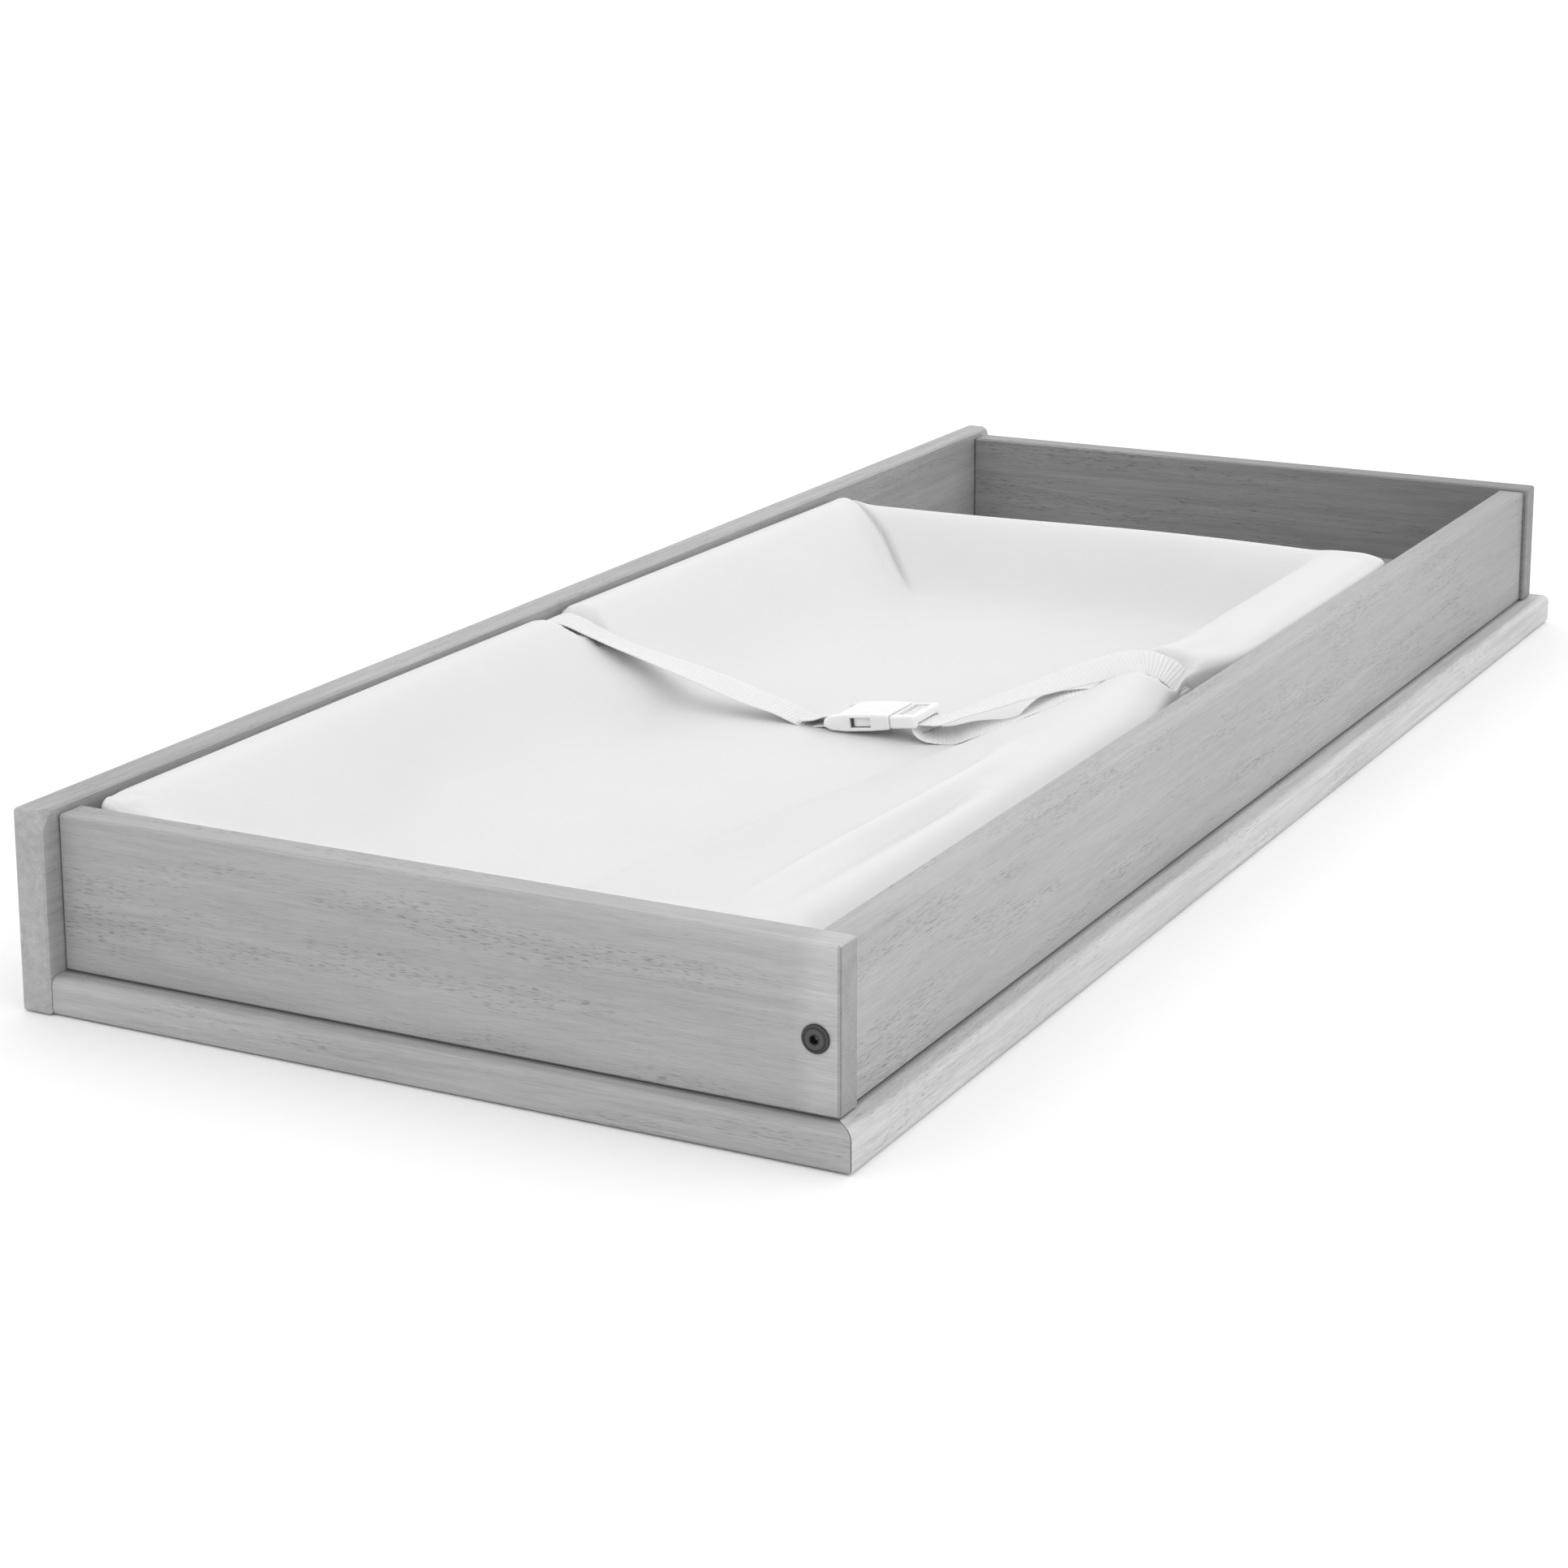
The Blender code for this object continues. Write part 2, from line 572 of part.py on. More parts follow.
def fastenings():
    front_y = (FRONT_OUT + FRONT_IN) / 2
    end_x = (END_OUT + END_IN) / 2
    seat = 2 * GAP / 3
    bolts, inserts, dowels, screws = [], [], [], []
    for side, label in ((-1, "near"), (1, "far")):
        inward = (-side, 0, 0)
        grain = side * (END_IN - GAP)
        bolts.append((f"front_bolt_{label}", (side * (END_OUT + seat), front_y, BOLT_HEIGHT), inward))
        head_seat = BACK_OUT - COUNTERBORE_DEPTH + seat
        bolts.append((f"back_bolt_{label}", (side * end_x, head_seat, BOLT_HEIGHT), (0, -1, 0)))
        inserts.append((f"front_insert_{label}", (grain, front_y, BOLT_HEIGHT), inward))
        inserts.append((f"back_insert_{label}", (side * end_x, BACK_IN - GAP, BOLT_HEIGHT), (0, -1, 0)))
        for z, level in zip(DOWEL_HEIGHTS, ("low", "high")):
            start = (side * (END_IN + DOWEL_IN_FACE), front_y, z)
            dowels.append((f"front_dowel_{label}_{level}", start, inward))
            start = (side * end_x, BACK_IN + DOWEL_IN_FACE, z)
            dowels.append((f"back_dowel_{label}_{level}", start, (0, -1, 0)))
        cleat_face = side * (END_IN - GAP - CLEAT)
        for i, y in enumerate(end_places()):
            start = (cleat_face + side * GAP, y, CLEAT_MIDDLE)
            screws.append((f"{label}_cleat_screw_{i + 1}", start, (side, 0, 0)))
            start = (side * end_x, y + LEDGE_SCREW_SHIFT, GAP)
            screws.append((f"{label}_ledge_screw_{i + 1}", start, (0, 0, 1)))
    for i, x in enumerate(long_places()):
        start = (x, FRONT_IN + CLEAT, CLEAT_MIDDLE)
        screws.append((f"front_cleat_screw_{i + 1}", start, (0, -1, 0)))
        start = (x, BACK_IN - CLEAT, CLEAT_MIDDLE)
        screws.append((f"back_cleat_screw_{i + 1}", start, (0, 1, 0)))
        start = (x + LEDGE_SCREW_SHIFT, front_y, GAP)
        screws.append((f"front_ledge_screw_{i + 1}", start, (0, 0, 1)))
    copies(bolt_mesh(), bolts)
    copies(insert_mesh(), inserts)
    copies(dowel_mesh(), dowels)
    copies(screw_mesh(), screws)


# --- Pad -----------------------------------------------------------------------------------------


def eased(t):
    """0 to 1 with level ends, held at the ends outside that span."""
    t = min(max(t, 0.0), 1.0)
    return t * t * (3 - 2 * t)


def pad_height(x, y):
    """Height of the pad's top: a hollow inside four raised sides whose edges are rounded over."""
    from_end = min(x - PAD_NEAR, PAD_FAR - x)
    from_side = min(y - PAD_FRONT, PAD_BACK - y)
    down = min((from_end - RIDGE_INSET) / END_SLOPE, (from_side - RIDGE_INSET) / SIDE_SLOPE)
    height = PAD_RIDGE - (PAD_RIDGE - PAD_FLOOR) * eased(down)
    near_edge = max(0.0, 1 - min(from_end, from_side) / RIDGE_INSET)
    return height - PAD_EDGE_DROP * near_edge**2


def crowded(u):
    return sin(u * PAD_CROWDING * pi / 2) / sin(PAD_CROWDING * pi / 2)


def rounded(x, y, half_x, half_y, corner):
    """Draws a point in along X, so that a rectangle's corners become arcs."""
    past = min(max(0.0, abs(y) - (half_y - corner)), corner)
    return x * (half_x - corner + sqrt(corner**2 - past**2)) / half_x


def soft_slab(name, low, high, corner, cells, top):
    """A closed slab with arcs at its four upright corners; top(x, y) gives its upper surface."""
    centre = [(a + b) / 2 for a, b in zip(low, high)]
    half = [(b - a) / 2 for a, b in zip(low, high)]
    bottom = low[2]
    bm = bmesh.new()
    bmesh.ops.create_grid(bm, x_segments=cells[0], y_segments=cells[1], size=1.0)
    for vert in bm.verts:
        x, y = half[0] * crowded(vert.co.x), half[1] * crowded(vert.co.y)
        x = rounded(x, y, half[0], half[1], corner)
        vert.co = (centre[0] + x, centre[1] + y, 0)
        vert.co.z = top(vert.co.x, vert.co.y)
    rim = [e for e in bm.edges if e.is_boundary]
    walls = bmesh.ops.extrude_edge_only(bm, edges=rim)["geom"]
    foot = [v for v in walls if isinstance(v, bmesh.types.BMVert)]
    for vert in foot:
        vert.co.z = bottom
    bmesh.ops.contextual_create(bm, geom=[e for e in bm.edges if e.is_boundary])
    bmesh.ops.recalc_face_normals(bm, faces=bm.faces)
    mesh = bpy.data.meshes.new(name)
    bm.to_mesh(mesh)
    bm.free()
    return add(name, mesh)


def pad():
    """The pad and its sheet hang on an empty at the pad's corner, which is where it is lifted from."""
    lift = bpy.data.objects.new("pad_lift_guide", None)
    PARTS.objects.link(lift)
    lift.hide_render = True
    body = soft_slab(
        "changing_pad",
        (PAD_NEAR, PAD_FRONT, PAD_BOTTOM),
        (PAD_FAR, PAD_BACK, PAD_RIDGE),
        PAD_CORNER,
        (PAD_CELLS_LONG, PAD_CELLS_WIDE),
        pad_height,
    )
    body.data.materials.append(VINYL)
    smooth(body, 50)
    sheet_low = (PAD_NEAR + SHEET_INSET, PAD_FRONT + SHEET_INSET, FLOOR_TOP + GAP)
    sheet_top = FLOOR_TOP + GAP + SHEET_THICKNESS
    sheet = soft_slab(
        "pad_base_sheet",
        sheet_low,
        (PAD_FAR - SHEET_INSET, PAD_BACK - SHEET_INSET, sheet_top),
        PAD_CORNER,
        (2, 8),
        lambda x, y: sheet_top,
    )
    sheet.data.materials.append(SHEET)
    for piece in (body, sheet):
        piece.parent = lift


# --- Belt ----------------------------------------------------------------------------------------


def through(points, steps):
    """A smooth run through a list of vectors, with steps spans between each pair."""
    ends = [2 * points[0] - points[1], *points, 2 * points[-1] - points[-2]]
    run = []
    for a, b, c, d in zip(ends, ends[1:], ends[2:], ends[3:]):
        for i in range(steps):
            t = i / steps
            cubic = (3 * b - a - 3 * c + d) * t**3
            run.append(0.5 * (2 * b + (c - a) * t + (2 * a - 5 * b + 4 * c - d) * t**2 + cubic))
    run.append(points[-1])
    return run


def spot(x, y, z, yaw=0.0):
    """A place on a strap's centre line, with the direction of the strap's width in plan, in degrees."""
    return Vector((x, y, z, radians(yaw)))


def buckle_spot(y, z):
    """A place on the buckle's middle plane, from the buckle's own frame."""
    place = BUCKLE_CENTRE + Matrix.Rotation(-BUCKLE_TILT, 3, "X") @ Vector((0, y, z))
    return spot(*place)


def ribbon(name, run):
    """Flat webbing along a run of spots: one loft through a thin rectangle at each of them."""
    bm = bmesh.new()
    sections = []
    for i, here in enumerate(run):
        along = (run[min(i + 1, len(run) - 1)] - run[max(i - 1, 0)]).to_3d().normalized()
        side = Vector((cos(here[3]), sin(here[3]), 0))
        side = (side - along * side.dot(along)).normalized()
        up = side.cross(along) * WEBBING_THICKNESS / 2
        side *= WEBBING / 2
        corners = (side + up, up - side, -side - up, side - up)
        sections.append([bm.verts.new(here.to_3d() + corner) for corner in corners])
    for one, two in zip(sections, sections[1:]):
        for k in range(4):
            bm.faces.new((one[k], one[k - 1], two[k - 1], two[k]))
    bm.faces.new(sections[0])
    bm.faces.new(sections[-1])
    bmesh.ops.recalc_face_normals(bm, faces=bm.faces)
    mesh = bpy.data.meshes.new(name)
    bm.to_mesh(mesh)
    bm.free()
    return smooth(add(name, mesh, WEB), 50)


def strap_back():
    """From the pad's back side over its ridge, hanging to the socket, round its bar and back on itself."""
    side_y = PAD_BACK + WEBBING_THICKNESS
    run = [
        spot(BELT_X, side_y, 0.048),
        spot(BELT_X, side_y, 0.070),
        spot(BELT_X, side_y, 0.090),
        spot(BELT_X, side_y - 0.004, 0.0985),
        spot(BELT_X, side_y - 0.014, 0.1015),
        spot(BELT_X, 0.168, 0.0965),
        spot(BELT_X, 0.136, 0.0860),
        spot(BELT_X, 0.105, 0.0755),
        spot(BELT_X, 0.070, 0.0680),
        buckle_spot(SOCKET_REAR + 0.012, -BAR_LOOP),
    ]
    run = through(run, 3)
    run += [buckle_spot(y, z) for y, z in arc((REAR_LOOP_Y, 0), BAR_LOOP, 270, 90, 8)]
    run += [buckle_spot(SOCKET_REAR + 0.002, BAR_LOOP), buckle_spot(SOCKET_REAR + 0.010, BAR_LOOP - 0.0028)]
    ribbon("strap_back", run)


def strap_front():
    """From the pad's front side over its ridge to the ladder lock, over its bar, and out as a loose tail."""
    side_y = PAD_FRONT - WEBBING_THICKNESS
    load = [
        spot(FRONT_ANCHOR_X - 0.003, side_y, 0.048),
        spot(FRONT_ANCHOR_X - 0.002, side_y, 0.070),
        spot(FRONT_ANCHOR_X, side_y, 0.090),
        spot(FRONT_ANCHOR_X + 0.002, side_y + 0.004, 0.0990, 2),
        spot(FRONT_ANCHOR_X + 0.002, side_y + 0.016, 0.1022, 8),
        spot(-0.042, -0.136, 0.0955, 24),
        spot(-0.062, -0.108, 0.0872, 26),
        spot(-0.082, -0.080, 0.0788, 20),
        spot(-0.096, -0.060, 0.0725, 8),
    ]
    lock = [
        (-0.0310, -0.0023),
        (-0.0285, -0.0021),
        (-0.0276, -0.0019),
        (-0.0266, -0.0010),
        (-0.0263, 0.0003),
        (-0.0259, 0.0016),
        (-0.0249, 0.0024),
        (-0.0226, 0.0026),
        (-0.0203, 0.0024),
        (-0.0193, 0.0016),
        (-0.0189, 0.0002),
        (-0.0191, -0.0016),
        (-0.0198, -0.0029),
        (-0.0212, -0.0036),
        (-0.0280, -0.0038),
    ]
    tail = [
        spot(-0.099, -0.056, 0.0655, 2),
        spot(-0.090, -0.074, 0.0625, 14),
        spot(-0.076, -0.094, 0.0665, 22),
        spot(-0.062, -0.112, 0.0768, 24),
        spot(-0.052, -0.124, 0.0860, 24),
    ]
    run = through(load, 3) + [buckle_spot(y, z) for y, z in lock] + through(tail, 3)
    ribbon("strap_front", run)


def buckle_box(name, low, high):
    return box(name, low, high, PLASTIC)


def buckle_socket():
    """The female half: a hollow shell with side windows, and a thinned bar between two cheeks."""
    half = SOCKET_THICKNESS / 2
    rear = SOCKET_REAR_THICKNESS / 2
    top = [(SOCKET_MOUTH, half - 0.0008), (-0.002, half - 0.0001), (0.015, half), (0.024, rear + 0.001)]
    end = arc((SOCKET_REAR - rear, 0), rear, 75, -75, 6)
    outline = top + end + [(y, -z) for y, z in reversed(top)]
    socket = extruded("buckle_socket", outline, BUCKLE_WIDTH, axes((0, 1, 0), (0, 0, 1), (1, 0, 0)))
    socket.data.materials.append(PLASTIC)
    soften(socket, 0.0012, 2)
    hole_x = BUCKLE_WIDTH / 2 - SOCKET_WALL
    hole_z = CAVITY_HEIGHT / 2
    cut(socket, buckle_box("cavity", (-hole_x, SOCKET_MOUTH - PAST, -hole_z), (hole_x, CAVITY_REAR, hole_z)))
    reach, window_z = BUCKLE_WIDTH, WINDOW_HEIGHT / 2
    cut(socket, buckle_box("windows", (-reach, WINDOW_FRONT, -window_z), (reach, WINDOW_REAR, window_z)))
    slot_x = SLOT_WIDTH / 2
    front, back = SOCKET_SLOT
    cut(socket, buckle_box("rear_slot", (-slot_x, front, -DEEP), (slot_x, back, DEEP)))
    for side, label in ((-1, "under"), (1, "over")):
        z_low, z_high = sorted((side * REAR_BAR / 2, side * DEEP))
        low, high = (-slot_x, front + STEP, z_low), (slot_x, SOCKET_REAR + DEEP, z_high)
        cut(socket, buckle_box(f"{label}_bar", low, high))
    return socket


def buckle_plug():
    """The male half: its base with the ladder-lock slots, and the guide between the arms."""
    half_x, half_z = BUCKLE_WIDTH / 2, PLUG_THICKNESS / 2
    shoulder = SOCKET_MOUTH - GAP
    plug = buckle_box("buckle_plug", (-half_x, PLUG_END, -half_z), (half_x, shoulder, half_z))
    freeze(soften(plug, 0.0013, 2))
    plug.data.transform(Matrix.Translation(plug.location))
    plug.location = (0, 0, 0)
    guide_x, guide_z = GUIDE_WIDTH / 2, GUIDE_THICKNESS / 2
    guide = buckle_box("guide", (-guide_x, shoulder - DEEP / 4, -guide_z), (guide_x, GUIDE_TIP, guide_z))
    cut(plug, guide, "UNION")
    slot_x = SLOT_WIDTH / 2
    for label, (low, high) in zip(("outer_slot", "inner_slot"), PLUG_SLOTS):
        cut(plug, buckle_box(label, (-slot_x, low, -DEEP), (slot_x, high, DEEP)))
    under_low, under_high = (-slot_x, PLUG_END - PAST, -DEEP), (slot_x, PLUG_RECESS_END, PLUG_WEB[0])
    cut(plug, buckle_box("under_recess", under_low, under_high))
    over_low, over_high = PLUG_SLOTS[0][0] + STEP, PLUG_SLOTS[1][1] - STEP
    cut(plug, buckle_box("over_recess", (-slot_x, over_low, PLUG_WEB[1]), (slot_x, over_high, DEEP)))
    return plug


def buckle_arm(name, side):
    """A spring arm with its button, with its origin on the pivot at its root."""
    outline = [
        (0.0098, ARM_ROOT),
        (0.0134, ARM_ROOT),
        (0.0139, -0.0030),
        (0.0150, -0.0012),
        (0.0150, 0.0080),
        (0.0140, 0.0100),
        (0.0124, ARM_TIP),
        (0.0106, ARM_TIP),
        (0.0101, -0.0020),
    ]
    outline = [(side * (x - ARM_PIVOT_X), y - ARM_ROOT) for x, y in outline]
    arm = extruded(name, outline, ARM_THICKNESS, Matrix.Identity(4))
    arm.data.materials.append(PLASTIC)
    arm.location = (side * ARM_PIVOT_X, ARM_ROOT, 0)
    return soften(arm, 0.0004)


def buckle():
    """The buckle's pieces ride on an empty that carries the buckle's own frame."""
    frame = bpy.data.objects.new("buckle_frame", None)
    PARTS.objects.link(frame)
    frame.hide_render = True
    frame.location = BUCKLE_CENTRE
    frame.rotation_euler = (-BUCKLE_TILT, 0, 0)
    arms = [buckle_arm("buckle_arm_near", -1), buckle_arm("buckle_arm_far", 1)]
    for piece in (buckle_socket(), buckle_plug(), *arms):
        for modifier in piece.modifiers:
            if modifier.type == "BOOLEAN":
                modifier.object.parent = frame
        piece.parent = frame


def main():
    back_panel()
    front_panel()
    end_panel("near_end_panel", -1)
    end_panel("far_end_panel", 1)
    ledges()
    floor_and_cleats()
    fastenings()
    pad()
    strap_back()
    strap_front()
    buckle()


main()
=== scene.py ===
"""Looks of the changing tray: stained boards, a soft contoured pad, ribbed webbing and a moulded buckle.

Metres, in the row frame: +X runs towards the supplies compartment, +Y towards the tall back panel.
"""

from math import cos, pi, radians, sin

import bmesh
import bpy
import numpy as np
from mathutils import Euler, Matrix, Quaternion, Vector


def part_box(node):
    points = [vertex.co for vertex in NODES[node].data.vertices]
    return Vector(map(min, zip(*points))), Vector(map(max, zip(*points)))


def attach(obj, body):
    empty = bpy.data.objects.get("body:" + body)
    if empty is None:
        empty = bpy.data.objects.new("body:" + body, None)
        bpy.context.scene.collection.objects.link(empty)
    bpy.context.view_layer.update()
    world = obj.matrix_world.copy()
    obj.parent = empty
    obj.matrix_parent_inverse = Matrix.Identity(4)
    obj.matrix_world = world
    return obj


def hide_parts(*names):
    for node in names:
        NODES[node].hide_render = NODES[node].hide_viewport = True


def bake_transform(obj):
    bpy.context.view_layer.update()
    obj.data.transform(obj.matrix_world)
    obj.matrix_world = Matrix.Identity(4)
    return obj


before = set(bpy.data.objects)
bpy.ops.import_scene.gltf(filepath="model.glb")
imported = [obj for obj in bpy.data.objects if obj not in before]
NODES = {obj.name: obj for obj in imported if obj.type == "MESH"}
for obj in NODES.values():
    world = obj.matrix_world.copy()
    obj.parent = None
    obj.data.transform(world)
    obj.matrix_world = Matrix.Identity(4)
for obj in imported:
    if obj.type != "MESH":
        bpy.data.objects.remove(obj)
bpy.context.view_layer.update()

# Camera
FOCAL_LENGTH = 79.19
SENSOR = 36.0
CAMERA_PLACE = (-1.8502, -0.8652, 0.6082)
CAMERA_YAW, CAMERA_PITCH, CAMERA_ROLL = radians(27.500), radians(-12.763), radians(-0.152)
CAMERA_SHIFT = -0.15

# Pad
PAD_LOW, PAD_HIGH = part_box("changing_pad")
PAD_LOW.y = -0.1965
PAD_MIDDLE = (PAD_LOW + PAD_HIGH) / 2
PAD_HALF = (PAD_HIGH - PAD_LOW) / 2
PAD_CORNER = 0.012
PAD_ROUNDING = 0.006
PAD_CELL = 0.006
HOLLOW = 0.0555
STRAP_X = -0.100
FRONT_STRAP_X = -0.015
SWELL_CAP = 0.0035

# The pad's sides, as heights above the hollow and widths of their inner slopes
BACK_RIDGE, BACK_SLOPE = 0.0480, 0.092
FAR_RIDGE, FAR_SLOPE = 0.0425, 0.074
NEAR_RIDGE, NEAR_SLOPE = 0.0400, 0.104
SIDES_MEET = 0.006  # rounding in the valleys between two sides

# The front side, before and past the belt
FRONT_RIDGE = (0.0385, 0.0435)
FRONT_RIDGE_Y = -0.161
FRONT_CREST = (0.0090, 0.0400)
FRONT_FALL = (0.72, 0.86)

# Soft folds in the cover: a run of places in plan, a width and a height
FRONT_FOLD = ((-0.520, -0.140), (-0.430, -0.146), (-0.330, -0.154), (-0.260, -0.155), (-0.190, -0.146))
FRONT_DIP = ((-0.520, -0.162), (-0.400, -0.164), (-0.330, -0.166), (-0.290, -0.168))
FOLDS = (
    (FRONT_FOLD, 0.0065, 0.0050),
    (FRONT_DIP, 0.0055, -0.0046),
    (((-0.225, 0.172), (-0.315, 0.150), (-0.400, 0.125), (-0.450, 0.090)), 0.016, -0.0022),
    (((-0.150, 0.130), (-0.170, 0.070), (-0.230, 0.020)), 0.022, -0.0012),
    (((0.060, 0.150), (0.100, 0.070), (0.180, 0.020)), 0.024, 0.0010),
    (((-0.5345, 0.205), (-0.526, 0.197), (-0.516, 0.190)), 0.0024, -0.0015),
    (((-0.529, 0.207), (-0.517, 0.203)), 0.0024, -0.0012),
    (((-0.536, 0.196), (-0.527, 0.184)), 0.0028, -0.0012),
)
CORNER_SEAM = ((0.3000, 0.2080), (0.2850, 0.1860), (0.2600, 0.1540), (0.2370, 0.1300), (0.2150, 0.1080))
SEAM_WIDTH = 0.0022
SEAM_DEPTH = 0.0016

# Corner bolts: their heads' places, and the radii of painted highlights on them: a glint in the socket, a
# lighter dish and a bright rim (the dish and the rim also carry a little bump relief)
BOLT_X, END_BOLT_Y, BOLT_Z = 0.551, -0.209, 0.057
SOCKET_GLINT = (0.0005, 0.0011)
DISH_IN, DISH_OUT = (0.0024, 0.0030), (0.0052, 0.0046)
RIM_IN, RIM_OUT = (0.0058, 0.0062), (0.0069, 0.0066)

# Webbing
WEBBING = 0.025
WEBBING_HALF_THICKNESS = 0.00055
RIB_PITCH = 0.0024
RIB_DEPTH = 0.00016
YARN_PITCH = 0.0011
SECTION = ((-1.0, 0.30), (-0.94, 0.85), (-0.6, 1.0), (0.0, 1.0), (0.6, 1.0), (0.94, 0.85), (1.0, 0.30))

# Light
SKY_STRENGTH = 0.88
SUN_ENERGY = 1.05
SUN_SPREAD = radians(150)
SUN_FROM = (0.24, -0.26, 1.0)


# --- Shader graphs -------------------------------------------------------------------------------


def node(tree, kind, inputs=None, **settings):
    """Adds a shader node; an input is a number, a colour or another node's socket."""
    made = tree.nodes.new(kind)
    for key, value in settings.items():
        setattr(made, key, value)
    for key, value in (inputs or {}).items():
        if isinstance(value, bpy.types.NodeSocket):
            tree.links.new(value, made.inputs[key])
        else:
            made.inputs[key].default_value = value
    return made


def material(name):
    """A new material with its node tree and its Principled shader."""
    made = bpy.data.materials.new(name)
    made.use_nodes = True
    return made, made.node_tree, made.node_tree.nodes["Principled BSDF"]


def object_coords(tree, scale=(1, 1, 1), shift=(0, 0, 0)):
    """The object's own coordinates, scaled and shifted."""
    coords = node(tree, "ShaderNodeTexCoord").outputs["Object"]
    inputs = {"Vector": coords, "Location": shift, "Scale": scale}
    return node(tree, "ShaderNodeMapping", inputs).outputs["Vector"]


def split(tree, vector):
    """The X, Y and Z sockets of a vector."""
    return node(tree, "ShaderNodeSeparateXYZ", {"Vector": vector}).outputs


def noise(tree, vector, scale, detail=3.0, roughness=0.5, distortion=0.0):
    """Soft random brightness, centred on a half."""
    made = node(tree, "ShaderNodeTexNoise", {"Vector": vector, "Scale": scale, "Detail": detail})
    made.inputs["Roughness"].default_value = roughness
    made.inputs["Distortion"].default_value = distortion
    return made.outputs["Fac"]


def remap(tree, value, low, high, to_low=0.0, to_high=1.0, smooth=False):
    """Takes the range low to high onto another range, and holds it there."""
    made = node(tree, "ShaderNodeMapRange", {"Value": value})
    made.interpolation_type = "SMOOTHSTEP" if smooth else "LINEAR"
    made.inputs["From Min"].default_value = low
    made.inputs["From Max"].default_value = high
    made.inputs["To Min"].default_value = to_low
    made.inputs["To Max"].default_value = to_high
    return made.outputs["Result"]


def maths(tree, operation, a, b=0.0):
    return node(tree, "ShaderNodeMath", {0: a, 1: b}, operation=operation).outputs["Value"]


def times(tree, a, b):
    return maths(tree, "MULTIPLY", a, b)


def plus(tree, a, b):
    return maths(tree, "ADD", a, b)


def grey(tree, value):
    """A neutral colour from a brightness."""
    inputs = {"Red": value, "Green": value, "Blue": value}
    return node(tree, "ShaderNodeCombineColor", inputs).outputs["Color"]


def glow_through(shader, weight, depth):
    """Lets light spread a little way through a white material."""
    shader.inputs["Subsurface Weight"].default_value = weight
    shader.inputs["Subsurface Radius"].default_value = (1.0, 1.0, 1.0)
    shader.inputs["Subsurface Scale"].default_value = depth


def bump(tree, height, strength, distance):
    """A normal socket that makes a height show as relief."""
    inputs = {"Height": height, "Strength": strength, "Distance": distance}
    return node(tree, "ShaderNodeBump", inputs).outputs["Normal"]


# --- Materials -----------------------------------------------------------------------------------


def wood(name, along, tone, shift, pores=1.0, streaky=1.0, finish=None):
    """Light grey stain on a board whose grain runs along one axis, with short dark pores.

    finish can change the board's brightness over it: a gradient in its tone, or painted shade in the groove
    beside a panel.
    """
    made, tree, shader = material(name)

    def grain(length, width, detail, roughness=0.55, distortion=0.0):
        scale = (length, width, width) if along == "X" else (width, length, width)
        return noise(tree, object_coords(tree, scale, shift), 1.0, detail, roughness, distortion)

    streaks = remap(tree, grain(7, 190, 5, 0.65, 0.4), 0.30, 0.70, -0.5, 0.5)
    clouds = remap(tree, grain(5, 22, 3), 0.30, 0.70, -0.5, 0.5)
    fibres = remap(tree, grain(45, 1300, 2), 0.25, 0.75, -0.5, 0.5)
    patches = remap(tree, grain(9, 60, 2), 0.46, 0.62, smooth=True)
    flecks = remap(tree, grain(150, 1700, 2, 0.4), 0.56, 0.68, smooth=True)
    pore = times(tree, flecks, remap(tree, patches, 0, 1, 0.20, 1.0))
    light = times(tree, streaks, 0.27 * tone * streaky)
    light = plus(tree, light, times(tree, clouds, 0.14 * tone))
    light = plus(tree, light, times(tree, fibres, 0.16 * tone))
    light = maths(tree, "SUBTRACT", light, times(tree, pore, 0.24 * tone * pores))
    light = plus(tree, light, tone)
    if finish:
        light = finish(tree, light, clouds)
    tree.links.new(grey(tree, light), shader.inputs["Base Color"])
    tree.links.new(remap(tree, clouds, -0.5, 0.5, 0.44, 0.60), shader.inputs["Roughness"])
    relief = maths(tree, "SUBTRACT", times(tree, fibres, 0.5), pore)
    tree.links.new(bump(tree, relief, 0.35, 0.0004), shader.inputs["Normal"])
    return made


def graded(axis, *stops):
    """A finish that changes a board's brightness along an axis: stops are (from, to, brightness past it)."""

    def finish(tree, light, clouds):
        place = split(tree, object_coords(tree))[axis]
        for start, end, brightness in stops:
            light = times(tree, light, remap(tree, place, start, end, 1.0, brightness, smooth=True))
        return light

    return finish


def near_end_stain(tree, light, clouds):
    """Paler towards the board's front end, with stain gathered on the end's corner and in its end grain."""
    place = split(tree, object_coords(tree))
    edge = plus(tree, place["Y"], times(tree, clouds, 0.006))
    light = times(tree, light, remap(tree, edge, -0.196, -0.210, 1.0, 1.16, smooth=True))
    light = times(tree, light, remap(tree, place["Y"], -0.180, 0.200, 1.06, 0.93))
    light = times(tree, light, remap(tree, place["Y"], -0.2204, -0.2208, 1.0, 0.66))
    past_front = remap(tree, place["Y"], -0.2192, -0.2200)
    past_end = remap(tree, place["X"], -0.5582, -0.5590)
    return times(tree, light, remap(tree, times(tree, past_front, past_end), 0.0, 1.0, 1.0, 0.66))


